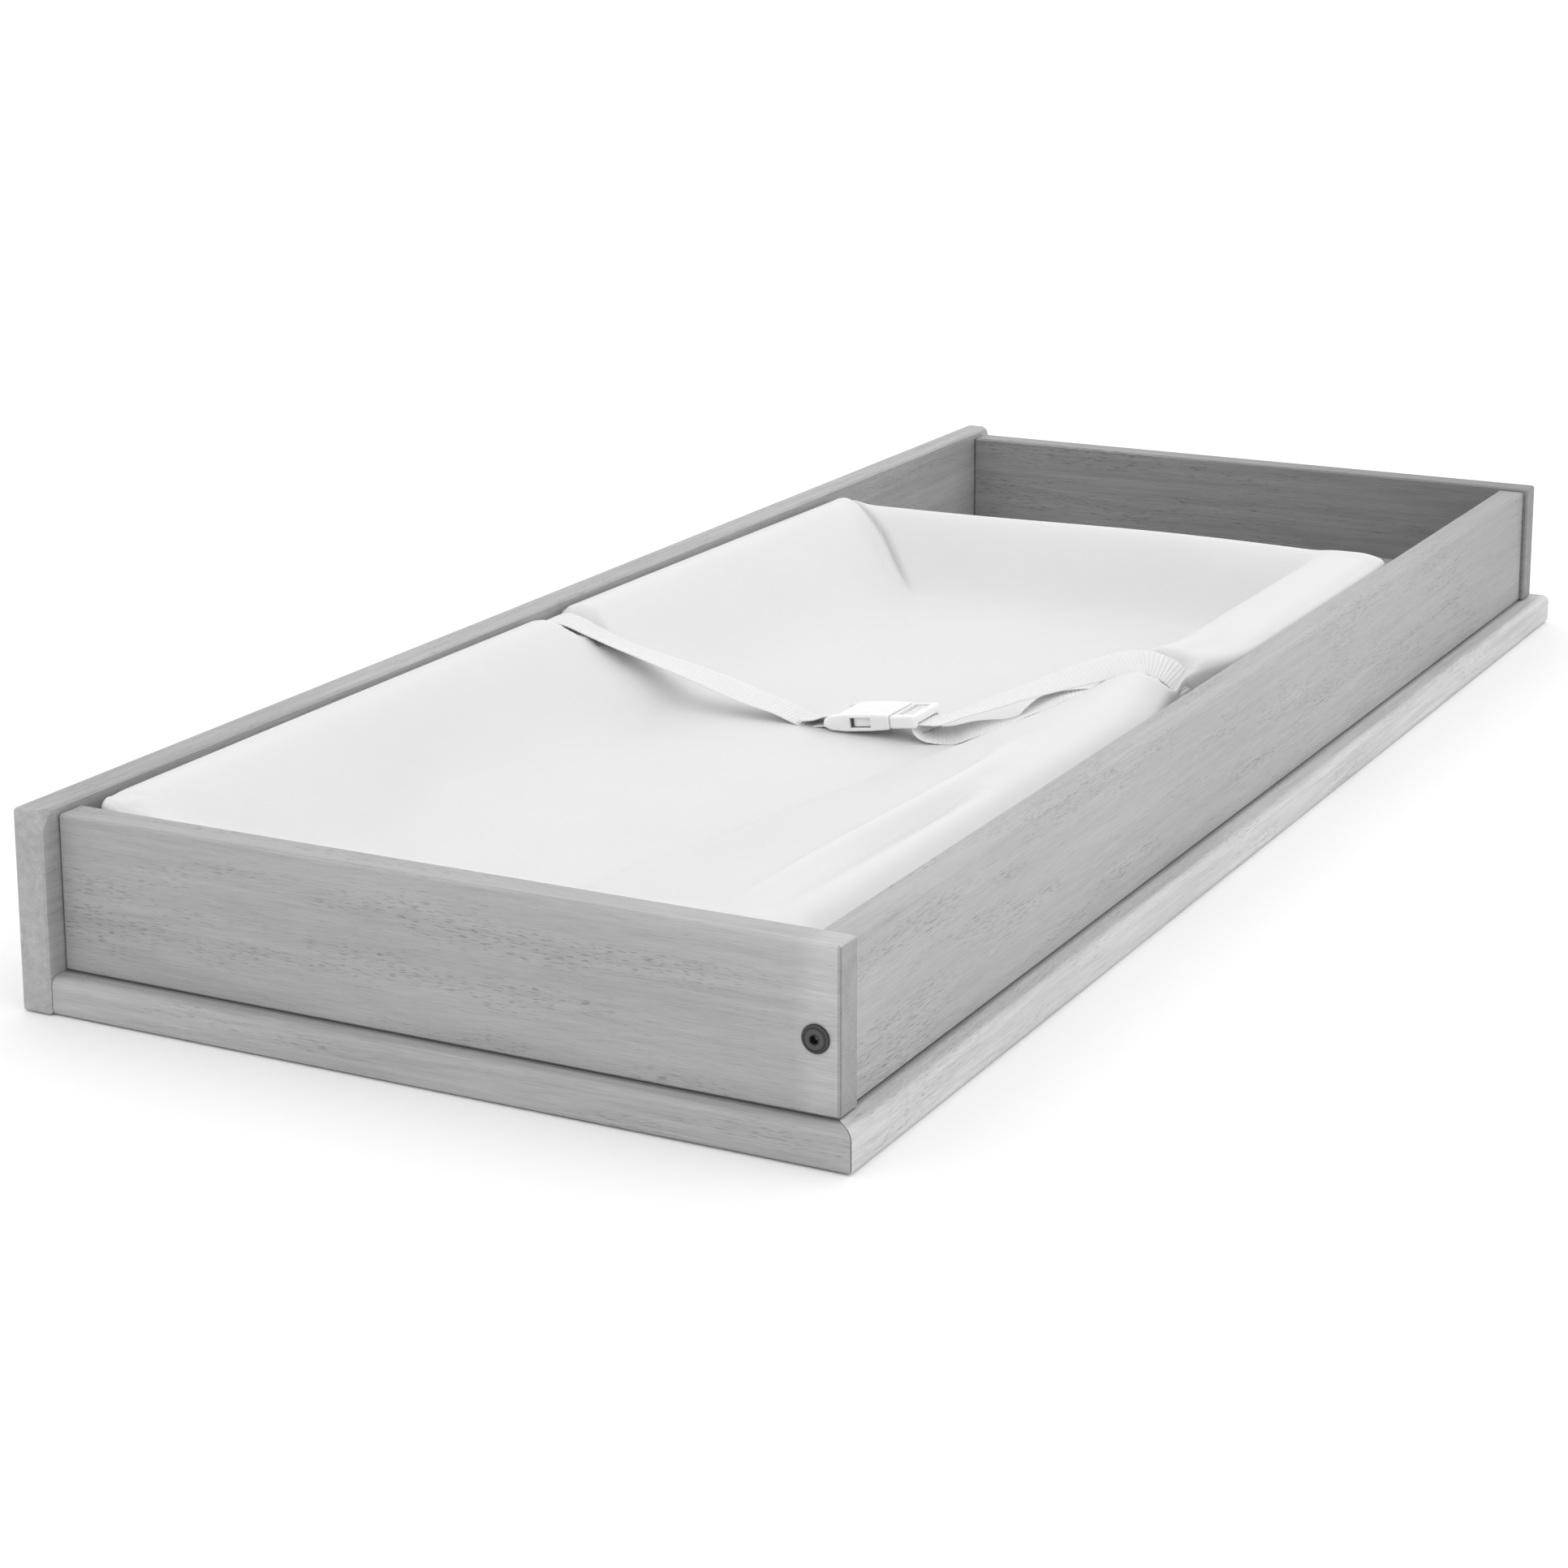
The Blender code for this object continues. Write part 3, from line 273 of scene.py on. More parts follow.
def bare_wood(name):
    """Unstained softwood, for what is hidden under the floor."""
    made, tree, shader = material(name)
    coords = object_coords(tree, (9, 9, 150))
    rings = noise(tree, coords, 1.0, 4.0)
    ramp = node(tree, "ShaderNodeMix", {"Factor": remap(tree, rings, 0.35, 0.65)}, data_type="RGBA")
    ramp.inputs[6].default_value = (0.50, 0.37, 0.23, 1)
    ramp.inputs[7].default_value = (0.63, 0.50, 0.34, 1)
    tree.links.new(ramp.outputs[2], shader.inputs["Base Color"])
    tree.links.new(remap(tree, rings, 0.3, 0.7, 0.6, 0.75), shader.inputs["Roughness"])
    tree.links.new(bump(tree, rings, 0.3, 0.0004), shader.inputs["Normal"])
    return made


def metal(name, tone, roughness, metallic):
    """Fastener steel with a faint grain in its finish."""
    made, tree, shader = material(name)
    grain = noise(tree, object_coords(tree), 900.0, 3.0)
    light = remap(tree, grain, 0.3, 0.7, tone * 0.85, tone * 1.15)
    rough = remap(tree, grain, 0.3, 0.7, roughness - 0.06, roughness + 0.06)
    tree.links.new(grey(tree, light), shader.inputs["Base Color"])
    tree.links.new(rough, shader.inputs["Roughness"])
    tree.links.new(bump(tree, grain, 0.15, 0.0001), shader.inputs["Normal"])
    shader.inputs["Metallic"].default_value = metallic
    return made


def bolt_steel(name, centre, across):
    """Blackened steel with painted highlights in rings about the bolt's axis (a glint in the socket, a
    lighter dish and a bright rim), the dish and the rim also given a little bump relief; across masks out
    the axis itself.
    """
    made, tree, shader = material(name)
    coords = node(tree, "ShaderNodeTexCoord").outputs["Object"]
    flat = node(tree, "ShaderNodeVectorMath", {0: coords, 1: across}, operation="MULTIPLY").outputs["Vector"]
    away = node(tree, "ShaderNodeVectorMath", {0: flat, 1: centre}, operation="DISTANCE").outputs["Value"]
    dish = times(tree, remap(tree, away, *DISH_IN), remap(tree, away, *DISH_OUT))
    rim = times(tree, remap(tree, away, *RIM_IN), remap(tree, away, *RIM_OUT))
    grain = noise(tree, object_coords(tree), 900.0, 3.0)
    # painted highlights: the dish and the rim made lighter, and a painted glint in the middle of the socket
    light = plus(tree, times(tree, dish, 0.045), times(tree, rim, 0.03))
    light = plus(tree, light, remap(tree, away, *SOCKET_GLINT, 0.30, 0.0))
    light = plus(tree, light, remap(tree, grain, 0.3, 0.7, 0.028, 0.040))
    tree.links.new(grey(tree, light), shader.inputs["Base Color"])
    tree.links.new(remap(tree, grain, 0.3, 0.7, 0.30, 0.42), shader.inputs["Roughness"])
    tree.links.new(bump(tree, plus(tree, dish, rim), 0.6, 0.0006), shader.inputs["Normal"])
    shader.inputs["Metallic"].default_value = 0.5
    return made


def vinyl(name, tone):
    """Satin wipe-clean sheet with a fine pressed grain, drawn a little unevenly over its foam."""
    made, tree, shader = material(name)
    coords = object_coords(tree)
    pebble = node(tree, "ShaderNodeTexVoronoi", {"Vector": coords, "Scale": 900.0}).outputs["Distance"]
    mottle = noise(tree, coords, 14.0, 4.0)
    broad = noise(tree, coords, 5.0, 2.0)
    seam = node(tree, "ShaderNodeAttribute", attribute_name="seam").outputs["Fac"]
    light = remap(tree, mottle, 0.3, 0.7, tone * 0.985, tone * 1.015)
    # painted shade, with some grime, in the corner seam's groove: up to 28 % darker along it
    light = times(tree, light, remap(tree, seam, 0.0, 1.0, 1.0, 0.72))
    tree.links.new(grey(tree, light), shader.inputs["Base Color"])
    tree.links.new(remap(tree, mottle, 0.3, 0.7, 0.40, 0.52), shader.inputs["Roughness"])
    relief = plus(tree, times(tree, pebble, 0.04), times(tree, mottle, 0.6))
    relief = plus(tree, relief, broad)
    tree.links.new(bump(tree, relief, 0.25, 0.0035), shader.inputs["Normal"])
    glow_through(shader, 0.6, 0.012)
    return made


def webbing(name, tone):
    """Woven polyester: the ribs are in the mesh, and fine yarns run along the strap."""
    made, tree, shader = material(name)
    weave = node(tree, "ShaderNodeUVMap", uv_map="weave").outputs["UV"]
    across, along = split(tree, weave)["X"], split(tree, weave)["Y"]
    yarns = maths(tree, "SINE", times(tree, across, 2 * pi / YARN_PITCH))
    picks = maths(tree, "SINE", times(tree, along, 2 * pi / RIB_PITCH))
    fuzz = noise(tree, object_coords(tree), 1800.0, 3.0)
    light = remap(tree, picks, -1, 1, tone * 0.90, tone)
    light = times(tree, light, remap(tree, fuzz, 0.3, 0.7, 0.94, 1.04))
    tree.links.new(grey(tree, light), shader.inputs["Base Color"])
    tree.links.new(remap(tree, fuzz, 0.3, 0.7, 0.66, 0.82), shader.inputs["Roughness"])
    relief = plus(tree, times(tree, yarns, 0.35), fuzz)
    tree.links.new(bump(tree, relief, 0.5, 0.00012), shader.inputs["Normal"])
    shader.inputs["Sheen Weight"].default_value = 0.15
    glow_through(shader, 0.5, 0.003)
    return made


def plastic(name, tone):
    """Moulded acetal: smooth, with a very faint orange peel."""
    made, tree, shader = material(name)
    peel = noise(tree, object_coords(tree), 260.0, 1.0)
    light = remap(tree, peel, 0.3, 0.7, tone * 0.985, tone * 1.01)
    tree.links.new(grey(tree, light), shader.inputs["Base Color"])
    tree.links.new(remap(tree, peel, 0.3, 0.7, 0.33, 0.37), shader.inputs["Roughness"])
    tree.links.new(bump(tree, peel, 0.02, 0.0001), shader.inputs["Normal"])
    glow_through(shader, 0.5, 0.003)
    return made


def grip_sheet(name):
    """A dotted non-slip sheet."""
    made, tree, shader = material(name)
    dots = node(tree, "ShaderNodeTexVoronoi", {"Vector": object_coords(tree), "Scale": 260.0})
    height = remap(tree, dots.outputs["Distance"], 0.15, 0.45, 1.0, 0.0)
    tree.links.new(grey(tree, remap(tree, height, 0, 1, 0.5, 0.62)), shader.inputs["Base Color"])
    tree.links.new(bump(tree, height, 0.6, 0.0006), shader.inputs["Normal"])
    shader.inputs["Roughness"].default_value = 0.85
    return made


def dress(obj, finish):
    """Gives an object one material."""
    obj.data.materials.clear()
    obj.data.materials.append(finish)


def dress_frame():
    """Gives every carried-over node its finish."""
    # painted shade: the ledges' tops darkened to 55 % in the few millimetres next to the panels, where the
    # groove's shadow falls
    front_groove_painted_shade = graded("Y", (-0.2216, -0.2180, 0.55))
    near_groove_painted_shade = graded("X", (-0.5640, -0.5600, 0.55))
    back_shade = graded("X", (-0.20, -0.45, 0.90), (-0.5660, -0.5715, 1.12))
    front_shade = graded("X", (0.10, 0.55, 0.82))
    far_shade = graded("Y", (0.18, -0.20, 0.80), (-0.05, 0.20, 1.08))
    boards = {
        "back_panel": wood("stain_back", "X", 0.375, (0.0, 3.1, 0.7), finish=back_shade),
        "front_panel": wood("stain_front", "X", 0.39, (5.0, 1.3, 2.2), 1.3, 0.6, front_shade),
        "near_end_panel": wood("stain_near_end", "Y", 0.375, (2.0, 0.0, 4.4), 1.4, 0.7, near_end_stain),
        "far_end_panel": wood("stain_far_end", "Y", 0.265, (9.0, 2.0, 1.4), 1.4, finish=far_shade),
        "front_ledge": wood("stain_front_ledge_with_painted_groove_shade", "X", 0.55, (3.0, 7.0, 5.0), finish=front_groove_painted_shade),
        "near_ledge": wood("stain_near_ledge_with_painted_groove_shade", "Y", 0.385, (1.0, 6.0, 3.0), finish=near_groove_painted_shade),
        "far_ledge": wood("stain_far_ledge", "Y", 0.43, (8.0, 4.0, 6.0)),
        "tray_floor": wood("stain_floor", "X", 0.41, (6.0, 5.0, 8.0), 0.6),
    }
    hidden = bare_wood("bare_softwood")
    end_bolts = bolt_steel("dark_steel_end", (0, END_BOLT_Y, BOLT_Z), (0, 1, 1))
    back_bolts = {
        "near": bolt_steel("dark_steel_back_near", (-BOLT_X, 0, BOLT_Z), (1, 0, 1)),
        "far": bolt_steel("dark_steel_back_far", (BOLT_X, 0, BOLT_Z), (1, 0, 1)),
    }
    zinc_steel = metal("zinc_steel", 0.55, 0.35, 1.0)
    white_plastic = plastic("white_acetal", 0.84)
    sheet = grip_sheet("grip_sheet")
    for name, obj in NODES.items():
        if name in boards:
            dress(obj, boards[name])
        elif name.startswith("front_bolt"):
            dress(obj, end_bolts)
        elif name.startswith("back_bolt"):
            dress(obj, back_bolts[name.rsplit("_", 1)[1]])
        elif "screw" in name or "insert" in name:
            dress(obj, zinc_steel)
        elif "cleat" in name or "rail" in name or "dowel" in name:
            dress(obj, hidden)
        elif name.startswith("buckle"):
            dress(obj, white_plastic)
        elif name == "pad_base_sheet":
            dress(obj, sheet)


# --- Belt runs: x, y, z, the turn of the width in plan, and the lift of its +X edge ----------------

BUCKLE_CENTRE = Vector((-0.100, -0.017, 0.0675))
BUCKLE_TILT = radians(7.8)


def at_buckle(y, z, yaw=0.0, tilt=0.0):
    """A place in the buckle's own frame, as a spot on a strap."""
    place = BUCKLE_CENTRE + Matrix.Rotation(-BUCKLE_TILT, 3, "X") @ Vector((0, y, z))
    return (*place, yaw, tilt)


BACK_RUN = [
    (STRAP_X, 0.2110, 0.050, 0, 0),
    (STRAP_X, 0.2114, 0.070, 0, 0),
    (STRAP_X, 0.2112, 0.090, 0, 0),
    (STRAP_X, 0.2085, 0.0990, 0, 0),
    (STRAP_X, 0.2010, 0.1022, 2, 0),
    (STRAP_X, 0.1900, 0.1008, 4, -2),
    (STRAP_X, 0.1762, 0.0962, 4, -5),
    (STRAP_X, 0.1575, 0.0905, 2, -7),
    (STRAP_X, 0.1448, 0.0875, 0, -6),
    (STRAP_X, 0.1182, 0.0815, -3, -2),
    (STRAP_X, 0.1015, 0.0776, -2, 1),
    (STRAP_X, 0.0877, 0.0740, 0, 4),
    (STRAP_X, 0.0713, 0.0697, -3, 3),
    (STRAP_X, 0.0590, 0.0668, -2, 2),
    (STRAP_X, 0.0467, 0.0640, 0, 0),
    at_buckle(0.0450, -0.0031),
    at_buckle(0.0340, -0.0029),
    at_buckle(0.0240, -0.0027),
    at_buckle(0.0219, -0.0016),
    at_buckle(0.0213, 0.0000),
    at_buckle(0.0219, 0.0016),
    at_buckle(0.0240, 0.0027),
    at_buckle(0.0310, 0.0027),
    at_buckle(0.0390, 0.0004, 0, -2),
    at_buckle(0.0480, -0.0006, 0, -6),
]

FRONT_LOAD = [
    (-0.0150, -0.1750, 0.050, 0, 0),
    (-0.0149, -0.1752, 0.066, -2, 2),
    (-0.0149, -0.1746, 0.0785, -5, 5),
    (-0.0152, -0.1722, 0.0850, -3, 13),
    (-0.0158, -0.1680, 0.0896, 3, 16),
    (-0.0168, -0.1618, 0.0936, 8, 18),
    (-0.0195, -0.1535, 0.0965, 12, 18),
    (-0.0242, -0.1458, 0.0975, 18.7, 16.3),
    (-0.0311, -0.1371, 0.0966, 24.7, 17.4),
    (-0.0412, -0.1243, 0.0928, 28.5, 17),
    (-0.0533, -0.1090, 0.0878, 28.7, 9.6),
    (-0.0684, -0.0899, 0.0814, 29, 2.4),
    (-0.0797, -0.0757, 0.0762, 28, 0),
    (-0.0885, -0.0650, 0.0722, 20, -3),
    (-0.0955, -0.0560, 0.0694, 8, 0),
]
LADDER_LOCK = [
    (-0.0310, -0.0026),
    (-0.0280, -0.0021),
    (-0.0266, -0.0010),
    (-0.0262, 0.0003),
    (-0.0258, 0.0017),
    (-0.0246, 0.0025),
    (-0.0226, 0.0027),
    (-0.0204, 0.0024),
    (-0.0193, 0.0016),
    (-0.0189, 0.0002),
    (-0.0192, -0.0018),
    (-0.0201, -0.0031),
    (-0.0222, -0.0038),
    (-0.0285, -0.0046),
]
FRONT_TAIL = [
    (-0.1045, -0.0500, 0.0622, 8, 3),
    (-0.0985, -0.0620, 0.0612, 21, 10),
    (-0.0949, -0.0730, 0.0645, 20, 8.6),
    (-0.0914, -0.0884, 0.0690, 24, -1.6),
    (-0.0822, -0.0996, 0.0732, 27.8, -12),
    (-0.0762, -0.1046, 0.0762, 29.8, -3.6),
    (-0.0678, -0.1108, 0.0805, 36, 1.3),
    (-0.0626, -0.1189, 0.0835, 33.6, -4.3),
    (-0.0560, -0.1300, 0.0862, 28, -12),
]

FRONT_RUN = FRONT_LOAD + [at_buckle(y, z) for y, z in LADDER_LOCK] + FRONT_TAIL


# --- Pad -----------------------------------------------------------------------------------------


def eased(t):
    t = np.clip(t, 0.0, 1.0)
    return t * t * (3 - 2 * t)


def mixed(pair, share):
    return (1 - share) * pair[0] + share * pair[1]


def hump(x, centre, width):
    return np.exp(-(((x - centre) / width) ** 2))


def blend_up(a, b):
    """The higher of two heights above the hollow, rounded where they meet."""
    k = SIDES_MEET * eased(np.maximum(a, b) / 0.010) + 1e-6
    return np.maximum(a, b) + np.maximum(k - np.abs(a - b), 0) ** 2 / (4 * k)


def front_side(x, y):
    """Height above the hollow of the front side: broad and low at the near end, steep past the strap."""
    past_strap = eased((x + 0.085) / 0.085)
    crest_y = (1 - past_strap) * (-0.100 - (x + 0.055) * 0.19) + past_strap * -0.153
    crest_y = np.minimum(crest_y, -0.030)
    crest = mixed(FRONT_CREST, past_strap)
    ridge = mixed(FRONT_RIDGE, past_strap)
    along = np.clip((y - FRONT_RIDGE_Y) / (crest_y - FRONT_RIDGE_Y), 0, 1)
    top = ridge - (ridge - crest) * along**1.3
    down = crest - mixed(FRONT_FALL, past_strap) * np.maximum(y - crest_y, 0)
    soft = 0.006
    foot = np.maximum(down, 0) + np.maximum(soft - np.abs(down), 0) ** 2 / (4 * soft)
    return np.where(y < crest_y, top, np.minimum(foot, top))


def line_distance(x, y, points):
    """Distance in plan from each place to a run of points, and how far along the run it is (0 to 1)."""
    nearest = np.full_like(x, 1e3)
    reached = np.zeros_like(x)
    for number, ((ax, ay), (bx, by)) in enumerate(zip(points, points[1:])):
        dx, dy = bx - ax, by - ay
        t = np.clip(((x - ax) * dx + (y - ay) * dy) / (dx * dx + dy * dy), 0, 1)
        away = np.hypot(x - ax - t * dx, y - ay - t * dy)
        reached = np.where(away < nearest, (number + t) / (len(points) - 1), reached)
        nearest = np.minimum(nearest, away)
    return nearest, reached


def folds_relief(x, y):
    """Height of the soft folds, which fade out at both ends."""
    relief = np.zeros_like(x)
    for points, width, height in FOLDS:
        away, along = line_distance(x, y, points)
        relief += height * np.exp(-((away / width) ** 2)) * np.sin(pi * along) ** 0.7
    return relief


def seam_nearness(x, y):
    """1 on the pad's corner seam, falling to 0 a few millimetres away and towards its lower end."""
    away, along = line_distance(x, y, CORNER_SEAM)
    return np.exp(-((away / SEAM_WIDTH) ** 2)) * eased((1 - along) / 0.35)


def edge_distance(x, y):
    """Distance inside the pad's rounded outline."""
    qx = np.abs(x - PAD_MIDDLE.x) - (PAD_HALF.x - PAD_CORNER)
    qy = np.abs(y - PAD_MIDDLE.y) - (PAD_HALF.y - PAD_CORNER)
    outside = np.hypot(np.maximum(qx, 0), np.maximum(qy, 0)) + np.minimum(np.maximum(qx, qy), 0)
    return PAD_CORNER - outside


def pad_top(x, y):
    """Height of the pad's upper surface."""
    along = (x - PAD_MIDDLE.x) / PAD_HALF.x
    back_ridge = BACK_RIDGE + 0.0015 * (1 - along**2) - 0.0010 * along
    back = back_ridge * (1 - eased((PAD_HIGH.y - y - 0.008) / BACK_SLOPE) ** 0.8)
    far_ridge = FAR_RIDGE + 0.0030 * hump(y, -0.050, 0.130)
    far = far_ridge * (1 - eased((PAD_HIGH.x - x - 0.010) / FAR_SLOPE))
    near = NEAR_RIDGE * (1 - eased((x - PAD_LOW.x + 0.006) / NEAR_SLOPE))
    height = blend_up(blend_up(back, far), blend_up(near, front_side(x, y)))
    shoulder = eased((-0.110 - y) / 0.040) * (0.026 - 0.020 * eased((x + 0.050) / 0.100))
    inset = np.clip(1 - edge_distance(x, y) / PAD_ROUNDING, 0, 1)
    rounding = PAD_ROUNDING * (1 - np.sqrt(1 - inset**2))
    inset = np.clip(1 - (y - PAD_LOW.y) / (PAD_ROUNDING + shoulder), 0, 1)
    slope = 0.5 * shoulder * (1 - np.sqrt(1 - inset**2))
    under_belt = 0.0075 * hump(x, STRAP_X, 0.040) * hump(y, 0.138, 0.022)
    return HOLLOW + height + under_belt - np.maximum(rounding, slope + 0.3 * rounding)


def pulled_in(x, y):
    """How far the belt draws the pad's front side inwards at a place."""
    inward = 0.0235 * hump(x, FRONT_STRAP_X, np.where(x < FRONT_STRAP_X, 0.080, 0.028))
    return inward * eased((-0.120 - y) / (-0.120 - PAD_LOW.y))


def grid_lines(low, high):
    """Places across the pad: crowded through its rounded edges, then one per cell."""
    edge = [PAD_ROUNDING * (1 - cos(radians(a))) for a in (0, 18, 34, 50, 64, 78)]
    inside = high - low - 2 * PAD_ROUNDING
    count = round(inside / PAD_CELL)
    middle = [low + PAD_ROUNDING + inside * i / count for i in range(count + 1)]
    return np.array([low + e for e in edge] + middle + [high - e for e in reversed(edge)])


def pad_shell():
    """A closed grid mesh in the pad's shape: its top, its side walls and its flat bottom."""
    xs = grid_lines(PAD_LOW.x, PAD_HIGH.x)
    ys = grid_lines(PAD_LOW.y, PAD_HIGH.y)
    x, y = np.meshgrid(xs, ys, indexing="ij")
    past = np.clip(np.abs(y - PAD_MIDDLE.y) - (PAD_HALF.y - PAD_CORNER), 0, PAD_CORNER)
    reach = PAD_HALF.x - PAD_CORNER + np.sqrt(PAD_CORNER**2 - past**2)
    x = PAD_MIDDLE.x + (x - PAD_MIDDLE.x) * reach / PAD_HALF.x
    z = pad_top(x, y)
    y_drawn = y + pulled_in(x, y)
    bm = bmesh.new()
    top = [[bm.verts.new((x[i, j], y_drawn[i, j], z[i, j])) for j in range(len(ys))] for i in range(len(xs))]
    for i in range(len(xs) - 1):
        for j in range(len(ys) - 1):
            bm.faces.new((top[i][j], top[i + 1][j], top[i + 1][j + 1], top[i][j + 1]))
    last_i, last_j = len(xs) - 1, len(ys) - 1
    rim_places = [(i, 0) for i in range(last_i)] + [(last_i, j) for j in range(last_j)]
    rim_places += [(i, last_j) for i in range(last_i, 0, -1)] + [(0, j) for j in range(last_j, 0, -1)]
    rim = [top[i][j] for i, j in rim_places]
    centre = PAD_MIDDLE.xy
    levels = 8
    loops = [rim]
    for level in range(1, levels + 1):
        share = level / levels
        loop = []
        for vert in rim:
            height = vert.co.z + (PAD_LOW.z - vert.co.z) * share
            inwards = (centre - vert.co.xy).normalized() * (0.0030 * share**2 - 0.0012 * sin(pi * share))
            loop.append(bm.verts.new((vert.co.x + inwards.x, vert.co.y + inwards.y, height)))
        loops.append(loop)
    for upper, lower in zip(loops, loops[1:]):
        for k in range(len(rim)):
            bm.faces.new((upper[k - 1], lower[k - 1], lower[k], upper[k]))
    bottom = [[None] * len(ys) for _ in xs]
    for (i, j), vert in zip(rim_places, loops[-1]):
        bottom[i][j] = vert
    for i in range(1, len(xs) - 1):
        for j in range(1, len(ys) - 1):
            bottom[i][j] = bm.verts.new((x[i, j], y_drawn[i, j], PAD_LOW.z))
    for i in range(len(xs) - 1):
        for j in range(len(ys) - 1):
            bm.faces.new((bottom[i][j], bottom[i][j + 1], bottom[i + 1][j + 1], bottom[i + 1][j]))
    bmesh.ops.recalc_face_normals(bm, faces=bm.faces)
    mesh = bpy.data.meshes.new("changing_pad_cover")
    bm.to_mesh(mesh)
    bm.free()
    pad = bpy.data.objects.new("changing_pad_cover", mesh)
    bpy.context.scene.collection.objects.link(pad)
    return pad


def coordinates(mesh):
    places = np.empty(len(mesh.vertices) * 3)
    mesh.vertices.foreach_get("co", places)
    return places.reshape(-1, 3)


def set_coordinates(mesh, places):
    mesh.vertices.foreach_set("co", places.ravel())
    mesh.update()


def swell(pad):
    """Blows the cover up a little over its foam, with its bottom held."""
    start = coordinates(pad.data)
    held = pad.vertex_groups.new(name="held")
    held.add([i for i, place in enumerate(start) if place[2] < PAD_LOW.z + 0.004], 1.0, "REPLACE")
    cloth = pad.modifiers.new("swell", "CLOTH")
    settings = cloth.settings
    settings.quality = 4
    settings.mass = 0.4
    settings.tension_stiffness = settings.compression_stiffness = 12
    settings.shear_stiffness = 6
    settings.bending_stiffness = 0.6
    settings.use_pressure = True
    settings.uniform_pressure_force = 4.0
    settings.effector_weights.gravity = 0.0
    settings.vertex_group_mass = "held"
    cloth.collision_settings.use_collision = False
    cloth.point_cache.frame_start, cloth.point_cache.frame_end = 1, 20
    for number in range(1, 21):
        bpy.context.scene.frame_set(number)
    graph = bpy.context.evaluated_depsgraph_get()
    swollen = coordinates(pad.evaluated_get(graph).to_mesh())
    pad.modifiers.remove(cloth)
    bpy.context.scene.frame_set(1)
    outward = np.empty(len(start) * 3)
    pad.data.vertex_normals.foreach_get("vector", outward)
    outward = outward.reshape(-1, 3)
    growth = np.sum((swollen - start) * outward, axis=1, keepdims=True)
    growth = SWELL_CAP * np.tanh(np.maximum(growth, 0) / SWELL_CAP)
    set_coordinates(pad.data, start + outward * growth)


def refine(obj, levels):
    modifier = obj.modifiers.new("refine", "SUBSURF")
    modifier.levels = modifier.render_levels = levels
    bpy.context.view_layer.update()
    graph = bpy.context.evaluated_depsgraph_get()
    mesh = bpy.data.meshes.new_from_object(obj.evaluated_get(graph))
    obj.modifiers.clear()
    obj.data = mesh
    mesh.shade_smooth()


def pressed(x, y, z, run, width):
    """Heights limited by a strap lying over them, easing out beyond its edges."""
    run = np.array(run)
    for a, b in zip(run, run[1:]):
        step = b - a
        reach = max(step[0] ** 2 + step[1] ** 2, 1e-9)
        t = np.clip(((x - a[0]) * step[0] + (y - a[1]) * step[1]) / reach, 0, 1)
        dx, dy = x - a[0] - t * step[0], y - a[1] - t * step[1]
        away = np.hypot(dx, dy)
        yaw, tilt = radians((a[3] + b[3]) / 2), radians((a[4] + b[4]) / 2)
        lift = (dx * cos(yaw) + dy * sin(yaw)) * sin(tilt)
        limit = a[2] + t * step[2] + lift - 0.0012 + np.maximum(away - width / 2, 0) * 0.9
        z = np.where(away < width, np.minimum(z, limit), z)
    return z


def pad_cover(finish):
    pad = pad_shell()
    swell(pad)
    refine(pad, 1)
    places = coordinates(pad.data)
    x, y, z = places.T
    upper = eased((z - HOLLOW + 0.006) / 0.004)
    seam = seam_nearness(x, y) * upper
    z = z + folds_relief(x, y) * upper - SEAM_DEPTH * seam
    for run in (BACK_RUN[3:9], FRONT_RUN[4:12]):
        z = np.where(upper > 0, pressed(x, y, z, run, WEBBING + 0.004), z)
    places[:, 2] = np.maximum(z, PAD_LOW.z)
    set_coordinates(pad.data, places)
    # the seam's nearness, which the vinyl turns into painted shade and some grime in the groove
    attribute = pad.data.attributes.new("seam", "FLOAT", "POINT")
    attribute.data.foreach_set("value", seam.astype(np.float32))
    dress(pad, finish)
    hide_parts("changing_pad")
    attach(pad, "pad")


# --- Belt ----------------------------------------------------------------------------------------


def through(points, spacing):
    """Evenly spaced spots on a smooth run through a strap's points, and how far along it each one is."""
    points = [np.array(p, float) for p in points]
    ends = [2 * points[0] - points[1], *points, 2 * points[-1] - points[-2]]
    run = []
    for a, b, c, d in zip(ends, ends[1:], ends[2:], ends[3:]):
        for t in np.linspace(0, 1, 24, endpoint=False):
            cubic = (3 * b - a - 3 * c + d) * t**3
            run.append(0.5 * (2 * b + (c - a) * t + (2 * a - 5 * b + 4 * c - d) * t**2 + cubic))
    run = np.array(run + [points[-1]])
    gone = np.concatenate(([0], np.cumsum(np.linalg.norm(np.diff(run[:, :3], axis=0), axis=1))))
    count = round(gone[-1] / spacing)
    wanted = np.linspace(0, gone[-1], count + 1)
    return np.stack([np.interp(wanted, gone, run[:, k]) for k in range(run.shape[1])], axis=1), wanted


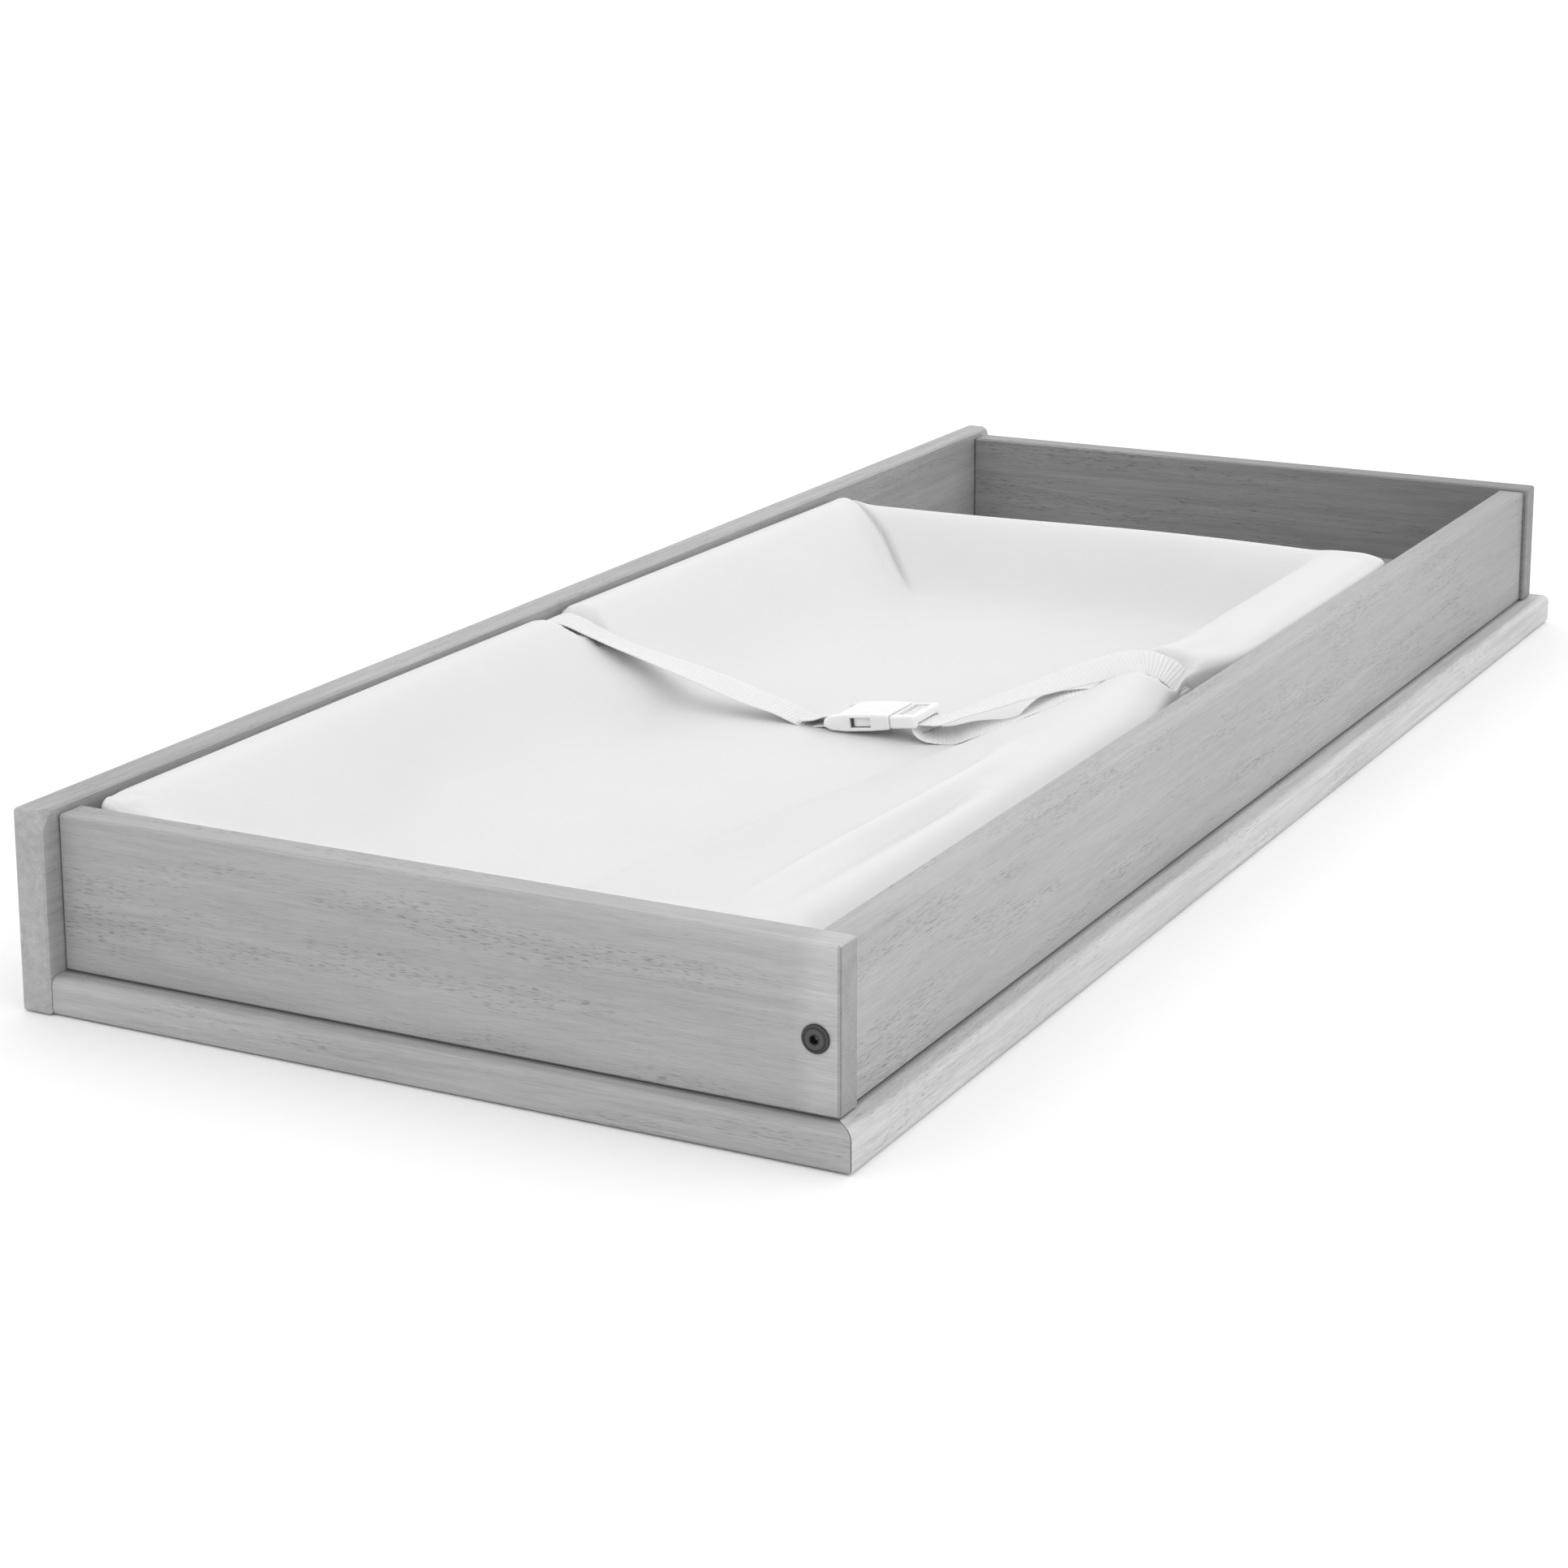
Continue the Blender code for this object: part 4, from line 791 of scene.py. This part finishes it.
def strap(name, points, finish, node_name):
    """Ribbed webbing along a run of (x, y, z, yaw, tilt).

    Yaw turns its width in plan, and tilt lifts its +X edge.
    """
    run, gone = through(points, RIB_PITCH / 6)
    tangent = np.gradient(run[:, :3], axis=0)
    tangent /= np.linalg.norm(tangent, axis=1, keepdims=True)
    bm = bmesh.new()
    uv = bm.loops.layers.uv.new("weave")
    rings = []
    for place, along, length in zip(run, tangent, gone):
        along = Vector(along)
        yaw, tilt = radians(place[3]), radians(place[4])
        side = Vector((cos(yaw) * cos(tilt), sin(yaw) * cos(tilt), sin(tilt)))
        side = (side - along * side.dot(along)).normalized()
        up = side.cross(along)
        rib = cos(2 * pi * length / RIB_PITCH)
        half_width = WEBBING / 2 + 0.00012 * rib
        ring = []
        for face, section in ((1, SECTION), (-1, SECTION[::-1])):
            depth = face * WEBBING_HALF_THICKNESS + RIB_DEPTH * rib
            for u, v in section:
                spot = Vector(place[:3]) + side * (half_width * u) + up * (depth * v)
                ring.append((bm.verts.new(spot), (u * WEBBING / 2, length)))
        rings.append(ring)
    count = len(rings[0])
    for one, two in zip(rings, rings[1:]):
        for k in range(count):
            corners = (one[k], one[k - 1], two[k - 1], two[k])
            face = bm.faces.new([c[0] for c in corners])
            for loop, corner in zip(face.loops, corners):
                loop[uv].uv = corner[1]
    for ring in (rings[0], rings[-1]):
        face = bm.faces.new([c[0] for c in ring])
        for loop, corner in zip(face.loops, ring):
            loop[uv].uv = corner[1]
    bmesh.ops.recalc_face_normals(bm, faces=bm.faces)
    mesh = bpy.data.meshes.new(name)
    bm.to_mesh(mesh)
    bm.free()
    mesh.shade_smooth()
    made = bpy.data.objects.new(name, mesh)
    bpy.context.scene.collection.objects.link(made)
    dress(made, finish)
    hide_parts(node_name)
    return made


def back_belt(finish):
    made = strap("belt_back_webbing", BACK_RUN, finish, "strap_back")
    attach(made, "pad")


def front_belt(finish):
    made = strap("belt_front_webbing", FRONT_RUN, finish, "strap_front")
    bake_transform(made)


# --- Studio --------------------------------------------------------------------------------------


def studio():
    scene = bpy.context.scene
    scene.view_settings.view_transform = "Standard"
    world = bpy.data.worlds.new("studio")
    scene.world = world
    world.use_nodes = True
    background = world.node_tree.nodes["Background"]
    background.inputs["Color"].default_value = (1, 1, 1, 1)
    background.inputs["Strength"].default_value = SKY_STRENGTH
    bpy.ops.mesh.primitive_plane_add(size=60, location=(0, 0, -0.0005))
    floor = bpy.context.active_object
    floor.name = "studio_floor"
    pale, tree, shader = material("studio_floor")
    cloud = noise(tree, object_coords(tree), 1.5)
    tree.links.new(grey(tree, remap(tree, cloud, 0.3, 0.7, 0.94, 0.95)), shader.inputs["Base Color"])
    shader.inputs["Roughness"].default_value = 0.9
    dress(floor, pale)
    sun = bpy.data.lights.new("back_light", "SUN")
    sun.energy = SUN_ENERGY
    sun.angle = SUN_SPREAD
    lamp = bpy.data.objects.new("back_light", sun)
    lamp.rotation_euler = Vector(SUN_FROM).to_track_quat("Z", "Y").to_euler()
    scene.collection.objects.link(lamp)


def camera():
    data = bpy.data.cameras.new("camera")
    data.lens = FOCAL_LENGTH
    data.sensor_width = SENSOR
    data.shift_y = CAMERA_SHIFT
    data.clip_end = 100
    made = bpy.data.objects.new("camera", data)
    aim = Euler((pi / 2 + CAMERA_PITCH, 0, CAMERA_YAW - pi / 2)).to_quaternion()
    made.rotation_mode = "QUATERNION"
    made.rotation_quaternion = aim @ Quaternion((0, 0, 1), CAMERA_ROLL)
    made.location = CAMERA_PLACE
    bpy.context.scene.collection.objects.link(made)
    bpy.context.scene.camera = made


def main():
    camera()
    studio()
    dress_frame()
    pad_cover(vinyl("white_vinyl", 0.68))
    woven = webbing("white_webbing", 0.76)
    back_belt(woven)
    front_belt(woven)


main()
